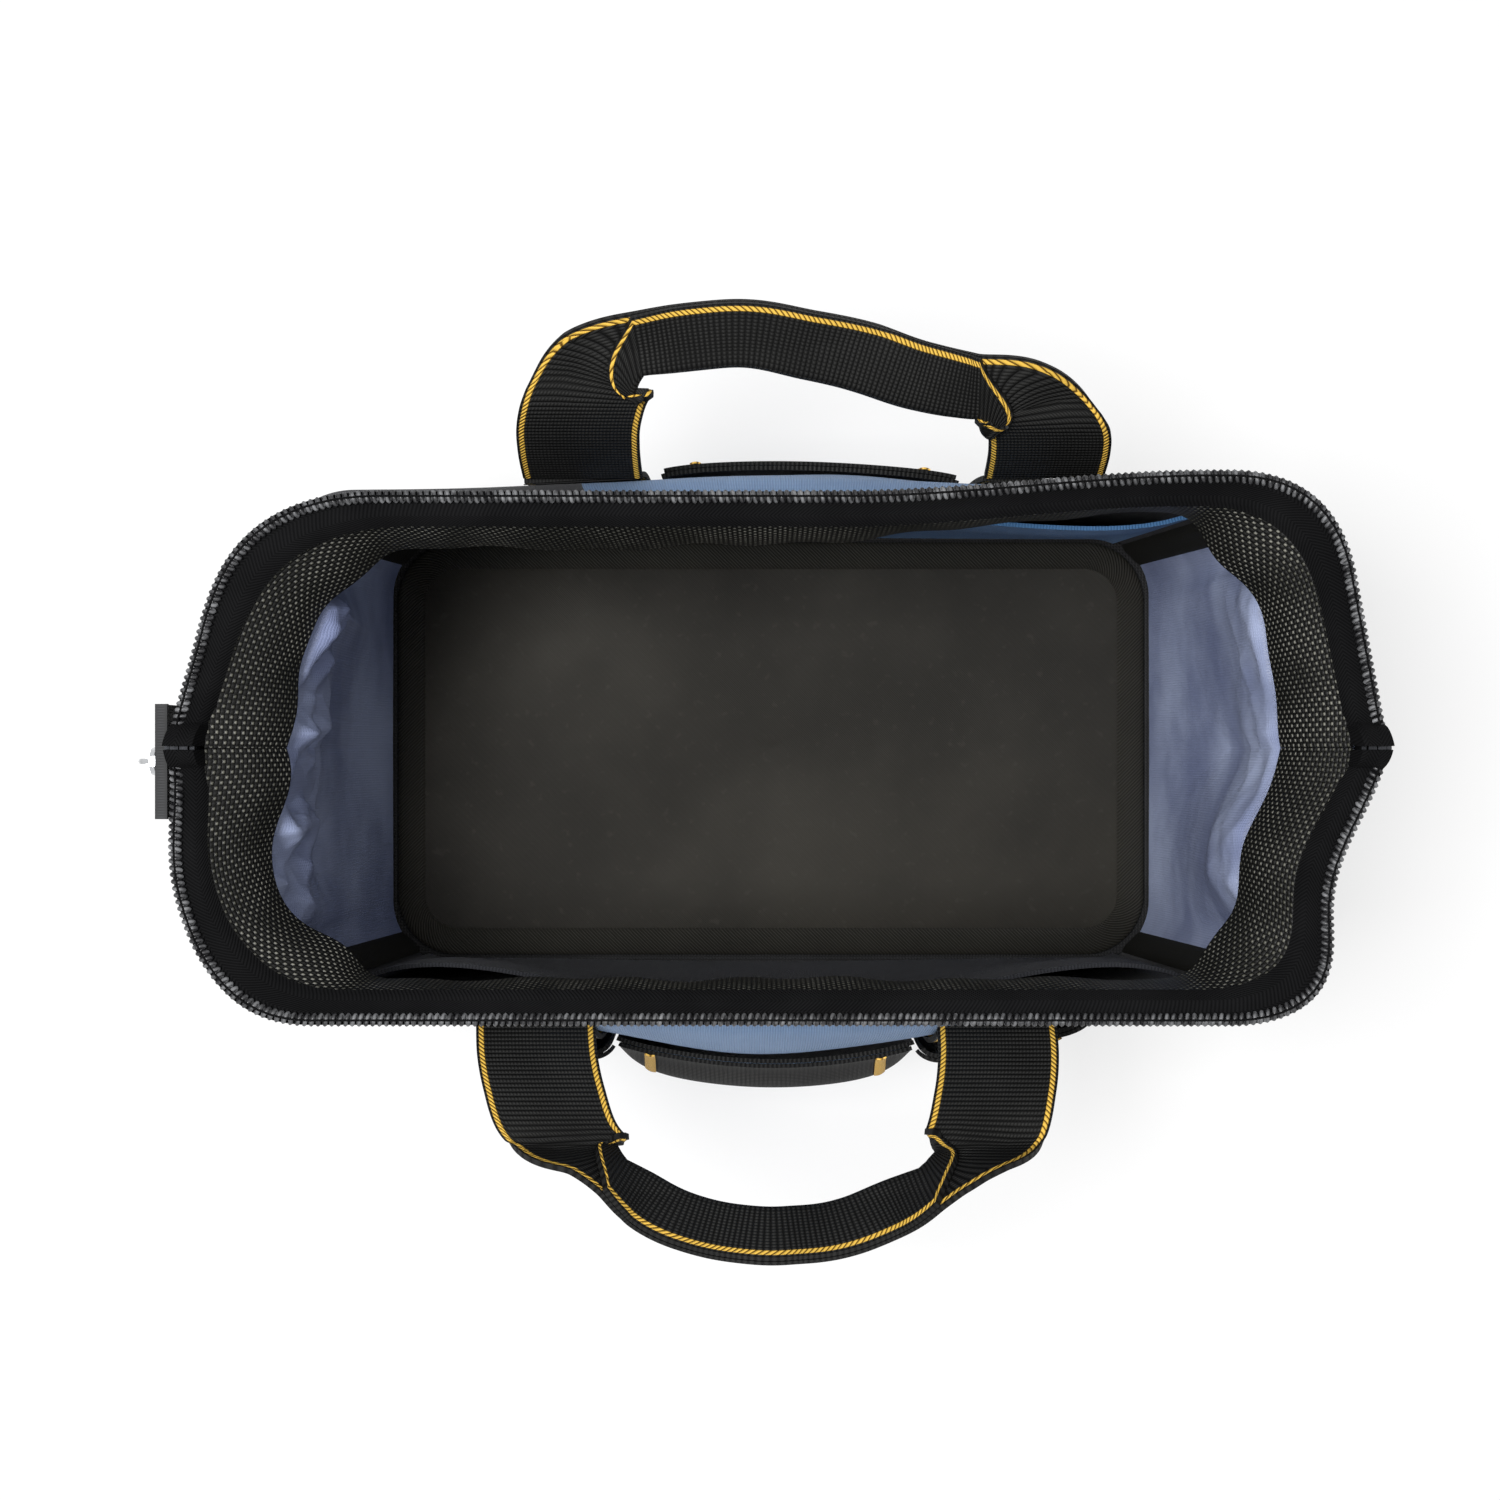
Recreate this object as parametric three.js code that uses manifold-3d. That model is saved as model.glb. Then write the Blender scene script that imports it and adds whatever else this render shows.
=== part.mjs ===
// A soft wide-mouth tool tote: a fabric tub with a hinged steel mouth frame, a coil zip,
// webbing handles, and pockets inside and out. Millimetres, +Z up.
// X runs along the bag, -Y is its front, and the origin is the middle of its underside.
import * as THREE from "three";
import { mergeVertices } from "three/addons/utils/BufferGeometryUtils.js";
import Module from "manifold-3d";

const wasm = await Module();
wasm.setup();

// Driving dimensions of the fabric tub
const baseLength = 300;
const baseWidth = 170;
const mouthLength = 326;
const mouthWidth = 160;
const cornerRadius = 26;
const wallHeight = 184;
const wallThickness = 1.8;
const frontBulge = 15;
const rearBulge = 6;
const endBulge = 3;
const swellFocus = 2;
const swellRise = 1.25;
const seamGap = 0.8;
const fit = 0.4;
const sewnGap = 0.8;

// Driving dimensions of the floor
const basePanelThickness = 2;
const baseBoardThickness = 2.5;
const floorInsertThickness = 2.5;
const floorMargin = 4;
const bindingWidth = 9;
const bindingThickness = 1.2;

// Driving dimensions of the mouth frame, its sleeve and the zip
const pivotHalfSpan = 178;
const rimHeight = 213;
const rodDiameter = 4;
const sleeveHeight = 24;
const sleeveThickness = 1.8;
const tapeWidth = 7;
const tapeThickness = 1;
const coilDiameter = 2.8;
const armGap = 6.5;
const eyeRadius = 4.5;
const eyeThickness = 2.4;
const rodOverrun = 3;
const rivetRadius = 2;
const pivotFit = 0.1;
const rivetHeadRadius = 3.6;
const rivetHeadThickness = 1.4;
const rimFlare = 2;
// The soft rim as it stands open: left and right of each side
const frontRimCorners = [26, 30];
const rearRimCorners = [46, 30];
const frontArmBows = [6, -8];
const rearArmBows = [-2, 0];
const rearDrawIn = 6;
const drawInStart = 20;
const drawInRun = 110;
const frontSleeveLean = 3;
const rearSleeveLean = 0.5;
const sleeveEndLean = 12;
const leanStart = 120;
const leanRun = 35;
const tuckStart = 162;
const tuckInset = 3;
const tuckSpread = 1.7;
const peakHeight = 95;
const rimSteps = 32;

// Driving dimensions of the zip slider and its tail
const tailWidth = 34;
const tailDrop = 44;
const tailReach = 4;
const tailThickness = 1.8;
const tailShift = -4;
const slotWidth = 3.6;
const sliderLength = 12;
const sliderWidth = 9;
const sliderTravel = 22;
const plateThickness = 1.6;
const pullLength = 24;
const pullWidth = 7;
const pullThickness = 1.2;
const bailRadius = 0.9;
const bailRing = 2.2;
const bailSink = 0.6;
const postHeight = 4;
const crossbarHeight = 1.3;
const windowWidth = 3.2;
const windowHeight = 4;

// Driving dimensions of the webbing
const webbingWidth = 38;
const webbingThickness = 2;
const handleSpacing = 147;
const frontShift = -3;
const rearShift = 12;
const handleRootHeight = 160;
const handleStandOff = 3.4;
const handleDepth = 57;
const frontHandleLift = 30;
const rearHandleLift = 58;
const frontGripRoll = 18;
const rearGripRoll = -29;
const frontCrease = [
  [-1, 0], [-0.986, 0.211], [-0.898, 0.421], [-0.653, 0.632], [-0.381, 0.851],
  [-0.109, 1.03], [0.0816, 1.04], [0.272, 1], [0.49, 0.921], [0.735, 0.772],
  [0.925, 0.526], [0.986, 0.263], [1, 0],
];
const rearCrease = [
  [-1, 0], [-0.993, 0.281], [-0.898, 0.544], [-0.653, 0.719], [-0.327, 0.825],
  [0, 0.754], [0.272, 0.632], [0.544, 0.509], [0.762, 0.474], [0.925, 0.368],
  [0.993, 0.175], [1, 0],
];
const foldStart = 0.42;
const foldEnd = 0.68;
const foldGap = 1.5;
const foldLift = 0.35;
const handleBow = 4;

// Driving dimensions of the pockets
const pocketFoot = 14;
const pocketTop = 122;
const pocketThickness = 1.6;
const frontPocketDepth = 16;
const sidePocketDepth = 8.5;
const rearPocketDepth = 5.5;
const frontPocketWidth = 100;
const leftPocketWidth = 44;
const rightPocketWidth = 56;
const rearPocketWidth = 100;
const pocketSpacing = 3;
const innerPocketTop = 132;
const frontInnerDepth = 10;
const rearInnerDepth = 8;
const innerPocketEnd = 2;
const hemHeight = 20;
const hemThickness = 1.2;
const hemGap = 0.95;
const pocketSteps = 12;
const pocketRows = 6;
const frontMouthDraw = 0.65;
const mouthDrawStart = 0.76;
const pocketSquareness = 4;
const pocketFullness = 0.8;
const pocketRise = 1.15;

// Finishes
const finishes = {
  blackFabric: [0x1c1c1e, 0.85, 0],
  greyFabric: [0x2b2c30, 0.85, 0],
  blueFabric: [0x4a6c98, 0.8, 0],
  liningFabric: [0x7f8fb8, 0.6, 0],
  webbing: [0x141415, 0.75, 0],
  sleeveWebbing: [0x22221f, 0.7, 0],
  zipTape: [0x18181a, 0.8, 0],
  zipCoil: [0x3a3a3c, 0.35, 0],
  board: [0x202020, 0.7, 0],
  steel: [0x8d8f92, 0.35, 1],
  slider: [0xa9abad, 0.3, 1],
};

const tote = new THREE.Group();

function finishOf(name) {
  const [color, roughness, metalness] = finishes[name];
  return new THREE.MeshStandardMaterial({ color, roughness, metalness });
}

function addPiece(name, geometry, finish) {
  const piece = new THREE.Mesh(geometry, finishOf(finish));
  piece.name = name;
  tote.add(piece);
  return piece;
}

const lerp = (a, b, t) => a + (b - a) * t;
const smooth = (t) => t * t * (3 - 2 * t);
const clamp01 = (t) => Math.min(1, Math.max(0, t));

// Solids from surfaces

// A point of a surface of two parameters, moved off it along its normal
function offsetPoint(surface, u, v, distance) {
  const nudge = 1e-3;
  const alongU = surface(Math.min(1, u + nudge), v).sub(surface(Math.max(0, u - nudge), v));
  const alongV = surface(u, Math.min(1, v + nudge)).sub(surface(u, Math.max(0, v - nudge)));
  return surface(u, v).addScaledVector(alongU.cross(alongV).normalize(), distance);
}

// A closed sheet: a surface of two parameters, given half its thickness to either side.
// uSteps is a count of even steps, or a list of the places along u.
function sheetSolid(surface, uSteps, vSteps, thickness) {
  const uPlaces = Array.isArray(uSteps) ? uSteps : Array.from({ length: uSteps + 1 }, (_, i) => i / uSteps);
  const uCount = uPlaces.length - 1;
  const positions = [];
  const row = vSteps + 1;
  const layer = (uCount + 1) * row;
  for (const side of [0.5, -0.5]) {
    for (const u of uPlaces) {
      for (let j = 0; j <= vSteps; j++) {
        const v = j / vSteps;
        positions.push(...offsetPoint(surface, u, v, side * thickness));
      }
    }
  }
  const index = [];
  const quad = (a, b, c, d) => index.push(a, b, c, a, c, d);
  const corner = (i, j) => i * row + j;
  for (let i = 0; i < uCount; i++) {
    for (let j = 0; j < vSteps; j++) {
      const [a, b, c, d] = [corner(i, j), corner(i + 1, j), corner(i + 1, j + 1), corner(i, j + 1)];
      quad(a, b, c, d);
      quad(layer + d, layer + c, layer + b, layer + a);
    }
  }
  for (let i = 0; i < uCount; i++) {
    const [a, b, c, d] = [corner(i, 0), corner(i + 1, 0), corner(i, vSteps), corner(i + 1, vSteps)];
    quad(layer + a, layer + b, b, a);
    quad(c, d, layer + d, layer + c);
  }
  for (let j = 0; j < vSteps; j++) {
    const [a, b, c, d] = [corner(0, j), corner(0, j + 1), corner(uCount, j), corner(uCount, j + 1)];
    quad(a, b, layer + b, layer + a);
    quad(layer + c, layer + d, d, c);
  }
  const geometry = new THREE.BufferGeometry();
  geometry.setAttribute("position", new THREE.Float32BufferAttribute(positions, 3));
  geometry.setIndex(index);
  return geometry;
}

function toSolid(geometry) {
  const bare = geometry.clone();
  bare.deleteAttribute("normal");
  bare.deleteAttribute("uv");
  const merged = mergeVertices(bare, 1e-4);
  const triVerts = merged.index ? new Uint32Array(merged.index.array) : undefined;
  const vertProperties = new Float32Array(merged.attributes.position.array);
  return new wasm.Manifold(new wasm.Mesh({ numProp: 3, vertProperties, triVerts }));
}

function fromSolid(solid) {
  const { vertProperties, triVerts } = solid.getMesh();
  const geometry = new THREE.BufferGeometry();
  geometry.setAttribute("position", new THREE.BufferAttribute(new Float32Array(vertProperties), 3));
  geometry.setIndex(new THREE.BufferAttribute(new Uint32Array(triVerts), 1));
  return geometry;
}

function joined(...geometries) {
  return fromSolid(geometries.map(toSolid).reduce((a, b) => a.add(b)));
}

function cut(geometry, ...tools) {
  return fromSolid(tools.map(toSolid).reduce((a, b) => a.subtract(b), toSolid(geometry)));
}

// A cylinder whose axis lies along X
function pinAlongX(radius, x0, x1, y, z, sides = 20) {
  const pin = new THREE.CylinderGeometry(radius, radius, x1 - x0, sides);
  return pin.rotateZ(-Math.PI / 2).translate((x0 + x1) / 2, y, z);
}

function boxBetween(low, high) {
  const size = high.map((h, i) => h - low[i]);
  const middle = high.map((h, i) => (h + low[i]) / 2);
  return new THREE.BoxGeometry(...size).translate(...middle);
}

// The tub's plan at a height, and its four walls

const halfLengthAt = (z) => lerp(baseLength, mouthLength, z / rimHeight) / 2;
const halfWidthAt = (z) => lerp(baseWidth, mouthWidth, z / rimHeight) / 2;

// How far a wall swells outwards: nothing along its edges, most in its middle
function swell(amount, along, z) {
  const up = clamp01(z / wallHeight);
  const acrossShape = Math.cos((Math.PI / 2) * along) ** swellFocus;
  return amount * acrossShape * Math.sin(Math.PI * up ** swellRise);
}

// How far the rim reaches from the middle of the mouth in a direction
function rimReach(angle) {
  const points = [...rimPoints(-1, 0), ...rimPoints(1, 0).reverse()];
  const turn = (p) => Math.atan2(p.y, p.x);
  const full = 2 * Math.PI;
  const ahead = points.map((p) => [(turn(p) - angle + 2 * full) % full, p.length()]);
  const next = ahead.reduce((a, b) => (b[0] < a[0] ? b : a));
  const last = ahead.reduce((a, b) => (b[0] > a[0] ? b : a));
  const behind = full - last[0];
  return lerp(last[1], next[1], behind / (behind + next[0]));
}

// Near its top a wall leaves its own plan and tucks in under the rim
function tucked(p, offset) {
  const share = smooth(clamp01((p.z - tuckStart) / (wallTop - tuckStart)));
  if (share === 0) return p;
  const reach = Math.hypot(p.x, p.y);
  const target = rimReach(Math.atan2(p.y, p.x)) - tuckInset + offset * tuckSpread;
  const scale = lerp(1, target / reach, share);
  return new THREE.Vector3(p.x * scale, p.y * scale, p.z);
}

// A point of a long wall's middle surface, moved outwards by offset. side is -1 in front.
function longWallPoint(side, along, z, offset = 0) {
  const bulge = side < 0 ? frontBulge : rearBulge;
  const straight = halfLengthAt(z) - cornerRadius;
  const arc = (cornerRadius * Math.PI) / 4;
  const walked = along * (straight + arc);
  const x = Math.min(Math.abs(walked), straight);
  const turn = Math.max(0, Math.abs(walked) - straight) / cornerRadius;
  const radius = cornerRadius + offset;
  const out = halfWidthAt(z) - cornerRadius + radius * Math.cos(turn);
  const reach = x + radius * Math.sin(turn);
  const swollen = swell(bulge, clamp01(x / straight), z);
  return tucked(new THREE.Vector3(Math.sign(along) * reach, side * (out + swollen), z), offset);
}

// The mouth runs out to a point at each end, and the top of the end wall follows it
function endPeak(y, z) {
  const peak = pivotHalfSpan - mouthLength / 2;
  const rise = smooth(clamp01((z - peakHeight) / (wallTop - peakHeight)));
  return peak * rise * Math.max(0, 1 - y / (halfWidthAt(z) - cornerRadius / 2));
}

// The same for an end wall. side is -1 at the left.
function endWallPoint(side, along, z, offset = 0) {
  const straight = halfWidthAt(z) - cornerRadius;
  const arc = (cornerRadius * Math.PI) / 4;
  const walked = along * (straight + arc);
  const y = Math.min(Math.abs(walked), straight);
  const turn = Math.max(0, Math.abs(walked) - straight) / cornerRadius;
  const radius = cornerRadius + offset;
  const out = halfLengthAt(z) - cornerRadius + radius * Math.cos(turn);
  const reach = y + radius * Math.sin(turn);
  const swollen = swell(endBulge, clamp01(y / straight), z) + endPeak(reach, z);
  return tucked(new THREE.Vector3(side * (out + swollen), Math.sign(along) * reach, z), offset);
}

// Where a long wall's middle surface lies at a given x, for what is sewn on it
function longWallY(side, x, z) {
  const straight = halfLengthAt(z) - cornerRadius;
  const bulge = side < 0 ? frontBulge : rearBulge;
  return side * (halfWidthAt(z) + swell(bulge, clamp01(Math.abs(x) / straight), z));
}

const wallFoot = basePanelThickness + fit;
const wallTop = rimHeight - coilDiameter - sleeveHeight - fit;

// Where a wall's facets fall along it: even ones on the flat, and short ones round the corners
function wallStations(half, flatSteps) {
  const arc = (cornerRadius * Math.PI) / 4;
  const flat = (half - cornerRadius) / (half - cornerRadius + arc);
  const cornerSteps = 5;
  const stations = [];
  for (let i = 0; i <= flatSteps; i++) stations.push(lerp(-flat, flat, i / flatSteps));
  for (let i = 1; i <= cornerSteps; i++) {
    const along = lerp(flat, 1, i / cornerSteps);
    stations.push(along);
    stations.unshift(-along);
  }
  return stations.map((along) => (along + 1) / 2);
}

function makeWalls() {
  const trim = seamGap / (baseLength / 2);
  const stretch = 1 - trim;
  const endTrim = 1 - seamGap / (baseWidth / 2);
  const heightAt = (v) => lerp(wallFoot, wallTop, v);
  for (const [name, side] of [["front", -1], ["rear", 1]]) {
    const surface = (u, v) => longWallPoint(side, -side * lerp(-stretch, stretch, u), heightAt(v));
    const finish = side < 0 ? "greyFabric" : "blackFabric";
    const stations = wallStations(baseLength / 2, 10);
    addPiece(name + "_wall", sheetSolid(surface, stations, 8, wallThickness), finish);
  }
  for (const [name, side] of [["left", -1], ["right", 1]]) {
    const surface = (u, v) => endWallPoint(side, side * lerp(-endTrim, endTrim, u), heightAt(v));
    const stations = wallStations(baseWidth / 2, 6);
    addPiece(name + "_end_wall", sheetSolid(surface, stations, 6, wallThickness), "liningFabric");
  }
}

// Binding tape over the seam inside each corner of the tub
function makeCornerBindings() {
  const inset = -(wallThickness + bindingThickness) / 2 - sewnGap;
  const arc = (cornerRadius * Math.PI) / 4;
  const reachOf = (z) => (bindingWidth / 2) / (halfLengthAt(z) - cornerRadius + arc);
  const endReachOf = (z) => (bindingWidth / 2) / (halfWidthAt(z) - cornerRadius + arc);
  const heightAt = (v) => lerp(floorTop + fit, wallTop, v);
  for (const [row, rowSide] of [["front", -1], ["rear", 1]]) {
    for (const [column, columnSide] of [["left", -1], ["right", 1]]) {
      const facing = rowSide * columnSide;
      const surface = (u, v) => {
        const z = heightAt(v);
        const share = facing > 0 ? 2 * u - 1 : 1 - 2 * u;
        if (share < 0) return longWallPoint(rowSide, columnSide * (1 + share * reachOf(z)), z, inset);
        return endWallPoint(columnSide, rowSide * (1 - share * endReachOf(z)), z, inset);
      };
      addPiece(row + "_" + column + "_seam_binding", sheetSolid(surface, 4, 6, bindingThickness), "webbing");
    }
  }
}

// The floor: base panel, stiff board, and a bound insert that lies on it

function plate(halfX, halfY, radius, z0, thickness) {
  const outline = new THREE.Shape();
  outline.moveTo(-halfX + radius, -halfY);
  outline.lineTo(halfX - radius, -halfY);
  outline.absarc(halfX - radius, -halfY + radius, radius, -Math.PI / 2, 0);
  outline.lineTo(halfX, halfY - radius);
  outline.absarc(halfX - radius, halfY - radius, radius, 0, Math.PI / 2);
  outline.lineTo(-halfX + radius, halfY);
  outline.absarc(-halfX + radius, halfY - radius, radius, Math.PI / 2, Math.PI);
  outline.lineTo(-halfX, -halfY + radius);
  outline.absarc(-halfX + radius, -halfY + radius, radius, Math.PI, 1.5 * Math.PI);
  const settings = { depth: thickness, bevelEnabled: false, curveSegments: 8 };
  const made = new THREE.ExtrudeGeometry(outline, settings);
  return made.translate(0, 0, z0);
}

const boardBottom = basePanelThickness + fit;
const insertBottom = boardBottom + baseBoardThickness;
const floorTop = insertBottom + floorInsertThickness;
const floorInset = wallThickness / 2 + fit;

function makeFloor() {
  const outset = wallThickness / 2;
  const [halfX, halfY] = [baseLength / 2, baseWidth / 2];
  addPiece("base_panel",
    plate(halfX + outset, halfY + outset, cornerRadius + outset, 0, basePanelThickness), "blackFabric");
  addPiece("base_board",
    plate(halfX - floorInset, halfY - floorInset, cornerRadius - floorInset, boardBottom - fit,
      baseBoardThickness),
    "board");
  const inset = floorInset + floorMargin;
  const outer = cornerRadius - inset;
  addPiece("floor_insert",
    plate(halfX - inset - bindingWidth, halfY - inset - bindingWidth, outer, insertBottom,
      floorInsertThickness),
    "blackFabric");
  const ring = cut(
    plate(halfX - inset, halfY - inset, outer + bindingWidth / 2, insertBottom, floorInsertThickness),
    plate(halfX - inset - bindingWidth + fit, halfY - inset - bindingWidth + fit, outer + fit,
      insertBottom - 1, floorInsertThickness + 2));
  addPiece("floor_binding", ring, "webbing");
}

// The rim: a U in plan on each side, from the left pivot round two corners to the right pivot

function rimPath(side, inset, gap = armGap) {
  const halfX = mouthLength / 2 + rimFlare - inset;
  const halfY = mouthWidth / 2 - inset + rimFlare;
  const pivot = pivotHalfSpan + rimFlare - inset;
  const path = new THREE.Path();
  const armLength = Math.hypot(pivot - halfX, halfY);
  const [left, right] = side < 0 ? frontRimCorners : rearRimCorners;
  const [leftBack, rightBack] = [left / armLength, right / armLength];
  path.moveTo(-lerp(pivot, halfX, gap / halfY), side * gap);
  path.lineTo(-lerp(halfX, pivot, leftBack), side * lerp(halfY, 0, leftBack));
  path.quadraticCurveTo(-halfX, side * halfY, -halfX + left, side * halfY);
  path.lineTo(halfX - right, side * halfY);
  path.quadraticCurveTo(halfX, side * halfY, lerp(halfX, pivot, rightBack), side * lerp(halfY, 0, rightBack));
  path.lineTo(lerp(pivot, halfX, gap / halfY), side * gap);
  return path;
}

// How the soft rim has settled from its even outline: its arms bow, and its rear side is drawn in
function rimSettling(side, p) {
  const along = clamp01(Math.abs(p.y) / (mouthWidth / 2 + rimFlare));
  const bows = side < 0 ? frontArmBows : rearArmBows;
  const bow = (p.x < 0 ? bows[0] : bows[1]) * Math.sin(Math.PI * along) ** 2;
  const drawn = rearDrawIn * (1 - smooth(clamp01((p.x - drawInStart) / drawInRun))) * smooth(along);
  return new THREE.Vector2(Math.sign(p.x) * bow, side < 0 ? 0 : -drawn);
}

// A curve along the rim, as a function of its share from left to right. Every layer settles alike.
function rimCurve(side, inset, gap = armGap) {
  const path = rimPath(side, inset, gap);
  const outline = rimPath(side, 0, gap);
  return (u) => path.getPointAt(u).add(rimSettling(side, outline.getPointAt(u)));
}

function rimPoints(side, inset, gap = armGap) {
  const curve = rimCurve(side, inset, gap);
  return Array.from({ length: rimSteps + 1 }, (_, i) => curve(i / rimSteps));
}

const stackTop = rimHeight - coilDiameter;

// A band that stands on edge along the rim, and can lean in towards its foot, most at the ends
function standingBand(side, inset, low, high, sideLean = 0, endLean = 0) {
  const head = rimCurve(side, inset);
  const sideFoot = rimCurve(side, inset + sideLean);
  const endFoot = rimCurve(side, inset + endLean);
  return (u, v) => {
    const along = side < 0 ? u : 1 - u;
    const top = head(along);
    const atEnd = smooth(clamp01((Math.abs(top.x) - leanStart) / leanRun));
    const foot = sideFoot(along).lerp(endFoot(along), atEnd);
    const p = foot.lerp(top, v);
    return new THREE.Vector3(p.x, p.y, lerp(low, high, v));
  };
}

// A band that lies flat along the rim
function lyingBand(side, inset, width, z) {
  const outer = rimCurve(side, inset);
  const inner = rimCurve(side, inset + width);
  return (u, v) => {
    const along = side < 0 ? u : 1 - u;
    const p = outer(along).lerp(inner(along), v);
    return new THREE.Vector3(p.x, p.y, z);
  };
}

// The rim's stack across its width, from the outside in
const hemInset = sleeveThickness / 2;
const rodInset = hemInset + sleeveThickness / 2 + rodDiameter / 2 + fit;
const sleeveInset = rodInset + rodDiameter / 2 + sleeveThickness / 2 + fit;
const rodGap = armGap - rodOverrun;
const rodHeight = stackTop - rodDiameter / 2 - fit;

function rodAlong(side, sections = 8) {
  const flat = rimPoints(side, rodInset, rodGap);
  const curve = new THREE.CatmullRomCurve3(flat.map((p) => new THREE.Vector3(p.x, p.y, rodHeight)));
  const section = new THREE.Shape();
  for (let i = 0; i < sections; i++) {
    const angle = ((i + 0.5) / sections) * 2 * Math.PI;
    const [x, y] = [Math.cos(angle) * rodDiameter / 2, Math.sin(angle) * rodDiameter / 2];
    if (i === 0) section.moveTo(x, y);
    else section.lineTo(x, y);
  }
  return new THREE.ExtrudeGeometry(section, { steps: rimSteps, extrudePath: curve, bevelEnabled: false });
}

// The flat eye at each end of a frame rod, bent up to the pivot axis.
// The rear eye sits outside the front one.
function eyeFaces(side) {
  const start = rimCurve(1, rodInset, rodGap)(1).x - eyeThickness - fit / 2;
  const near = side < 0 ? start : start + eyeThickness + fit;
  return [near, near + eyeThickness];
}

function frameRod(side) {
  const [near, far] = eyeFaces(side);
  const pieces = [];
  const holes = [];
  for (const end of [-1, 1]) {
    const [x0, x1] = end > 0 ? [near, far] : [-far, -near];
    pieces.push(pinAlongX(eyeRadius, x0, x1, 0, rimHeight));
    const [y0, y1] = [eyeRadius / 2, armGap - fit].map((y) => side * y).sort((a, b) => a - b);
    pieces.push(boxBetween([x0, y0, rodHeight - rodDiameter / 2], [x1, y1, rimHeight]));
    holes.push(pinAlongX(rivetRadius + pivotFit, x0 - 1, x1 + 1, 0, rimHeight));
  }
  return cut(joined(rodAlong(side), ...pieces), ...holes);
}

function makeMouthFrame() {
  for (const [name, side] of [["front", -1], ["rear", 1]]) {
    addPiece(name + "_frame_rod", frameRod(side), "steel");
    const low = stackTop - sleeveHeight;
    const sideLean = side < 0 ? frontSleeveLean : rearSleeveLean;
    const sleeve = standingBand(side, sleeveInset, low, stackTop - fit, sideLean, sleeveEndLean);
    addPiece(name + "_frame_sleeve", sheetSolid(sleeve, rimSteps, 1, sleeveThickness), "sleeveWebbing");
    const hem = standingBand(side, hemInset, low, stackTop - fit);
    addPiece(name + "_rim_hem", sheetSolid(hem, rimSteps, 1, sleeveThickness), "blackFabric");
    const tape = lyingBand(side, coilDiameter + fit, tapeWidth, stackTop + tapeThickness / 2 + fit);
    addPiece(name + "_zip_tape", sheetSolid(tape, rimSteps, 1, tapeThickness), "zipTape");
    addPiece(name + "_zip_coil", zipCoil(side), "zipCoil");
  }
}

function zipCoil(side) {
  const flat = rimPoints(side, coilDiameter / 2);
  const curve = new THREE.CatmullRomCurve3(
    flat.map((p) => new THREE.Vector3(p.x, p.y, stackTop + coilDiameter / 2)));
  const section = new THREE.Shape().absellipse(0, 0, coilDiameter / 2, coilDiameter / 2, 0, 2 * Math.PI);
  return new THREE.ExtrudeGeometry(section,
    { steps: rimSteps, extrudePath: curve, bevelEnabled: false, curveSegments: 4 });
}

// A rivet through both eyes at each end
function makeRivets() {
  const [inner] = eyeFaces(-1);
  const [, outer] = eyeFaces(1);
  for (const [name, end] of [["left", -1], ["right", 1]]) {
    const spans = [
      [rivetRadius, inner - fit, outer + fit],
      [rivetHeadRadius, inner - fit - rivetHeadThickness, inner - fit],
      [rivetHeadRadius, outer + fit, outer + fit + rivetHeadThickness],
    ];
    const placed = spans.map(([r, a, b]) => (end > 0 ? [r, a, b] : [r, -b, -a]));
    const parts = placed.map(([r, a, b]) => pinAlongX(r, a, b, 0, rimHeight));
    addPiece(name + "_pivot_rivet", joined(...parts), "steel");
  }
}

// Pockets: sheets sewn to a wall along their sides and foot, and open at the top

// How far a pocket stands off its wall: sewn down at its sides and foot, full above, its mouth drawn in
function pocketGap(depth, across, up, mouthDraw = 0) {
  const fromMiddle = Math.min(1, Math.abs(2 * across - 1));
  const acrossShape = Math.pow(1 - Math.pow(fromMiddle, pocketSquareness), pocketFullness);
  const drawn = mouthDraw * smooth(clamp01((up - mouthDrawStart) / (1 - mouthDrawStart)));
  return depth * acrossShape * (smooth(clamp01(up * pocketRise)) - drawn);
}

// The top row of a pocket's sheet carries its hem
const hemRow = (pocketRows - 1) / pocketRows;
const hemStart = 1 - hemHeight / (pocketTop - pocketFoot);
const hemFoot = 0.15;

function outerPocket(side, middle, width, depth, mouthDraw, room) {
  const clearance = (wallThickness + pocketThickness) / 2 + sewnGap + room;
  return (u, v) => {
    const across = side < 0 ? u : 1 - u;
    const x = middle + (across - 0.5) * width;
    const up = v < hemRow ? (v / hemRow) * hemStart : lerp(hemStart, 1, (v - hemRow) / (1 - hemRow));
    const z = lerp(pocketFoot, pocketTop, up);
    const off = clearance + pocketGap(depth, across, up, mouthDraw);
    return new THREE.Vector3(x, longWallY(side, x, z) + side * off, z);
  };
}

// The tape sewn along a pocket's mouth, clear of its sides: the pocket's top row moved straight outwards
function pocketHem(body) {
  const off = (pocketThickness + hemThickness) / 2 + hemGap;
  const end = 1 / pocketSteps;
  return (u, v) => {
    const across = lerp(end, 1 - end, u);
    const [foot, mouth] = [body(across, hemRow), body(across, 1)];
    const along = body(across + end / 2, 1).sub(body(across - end / 2, 1));
    const outward = along.cross(mouth.clone().sub(foot)).normalize();
    return foot.lerp(mouth, lerp(hemFoot, 1, v)).addScaledVector(outward, off);
  };
}

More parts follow.
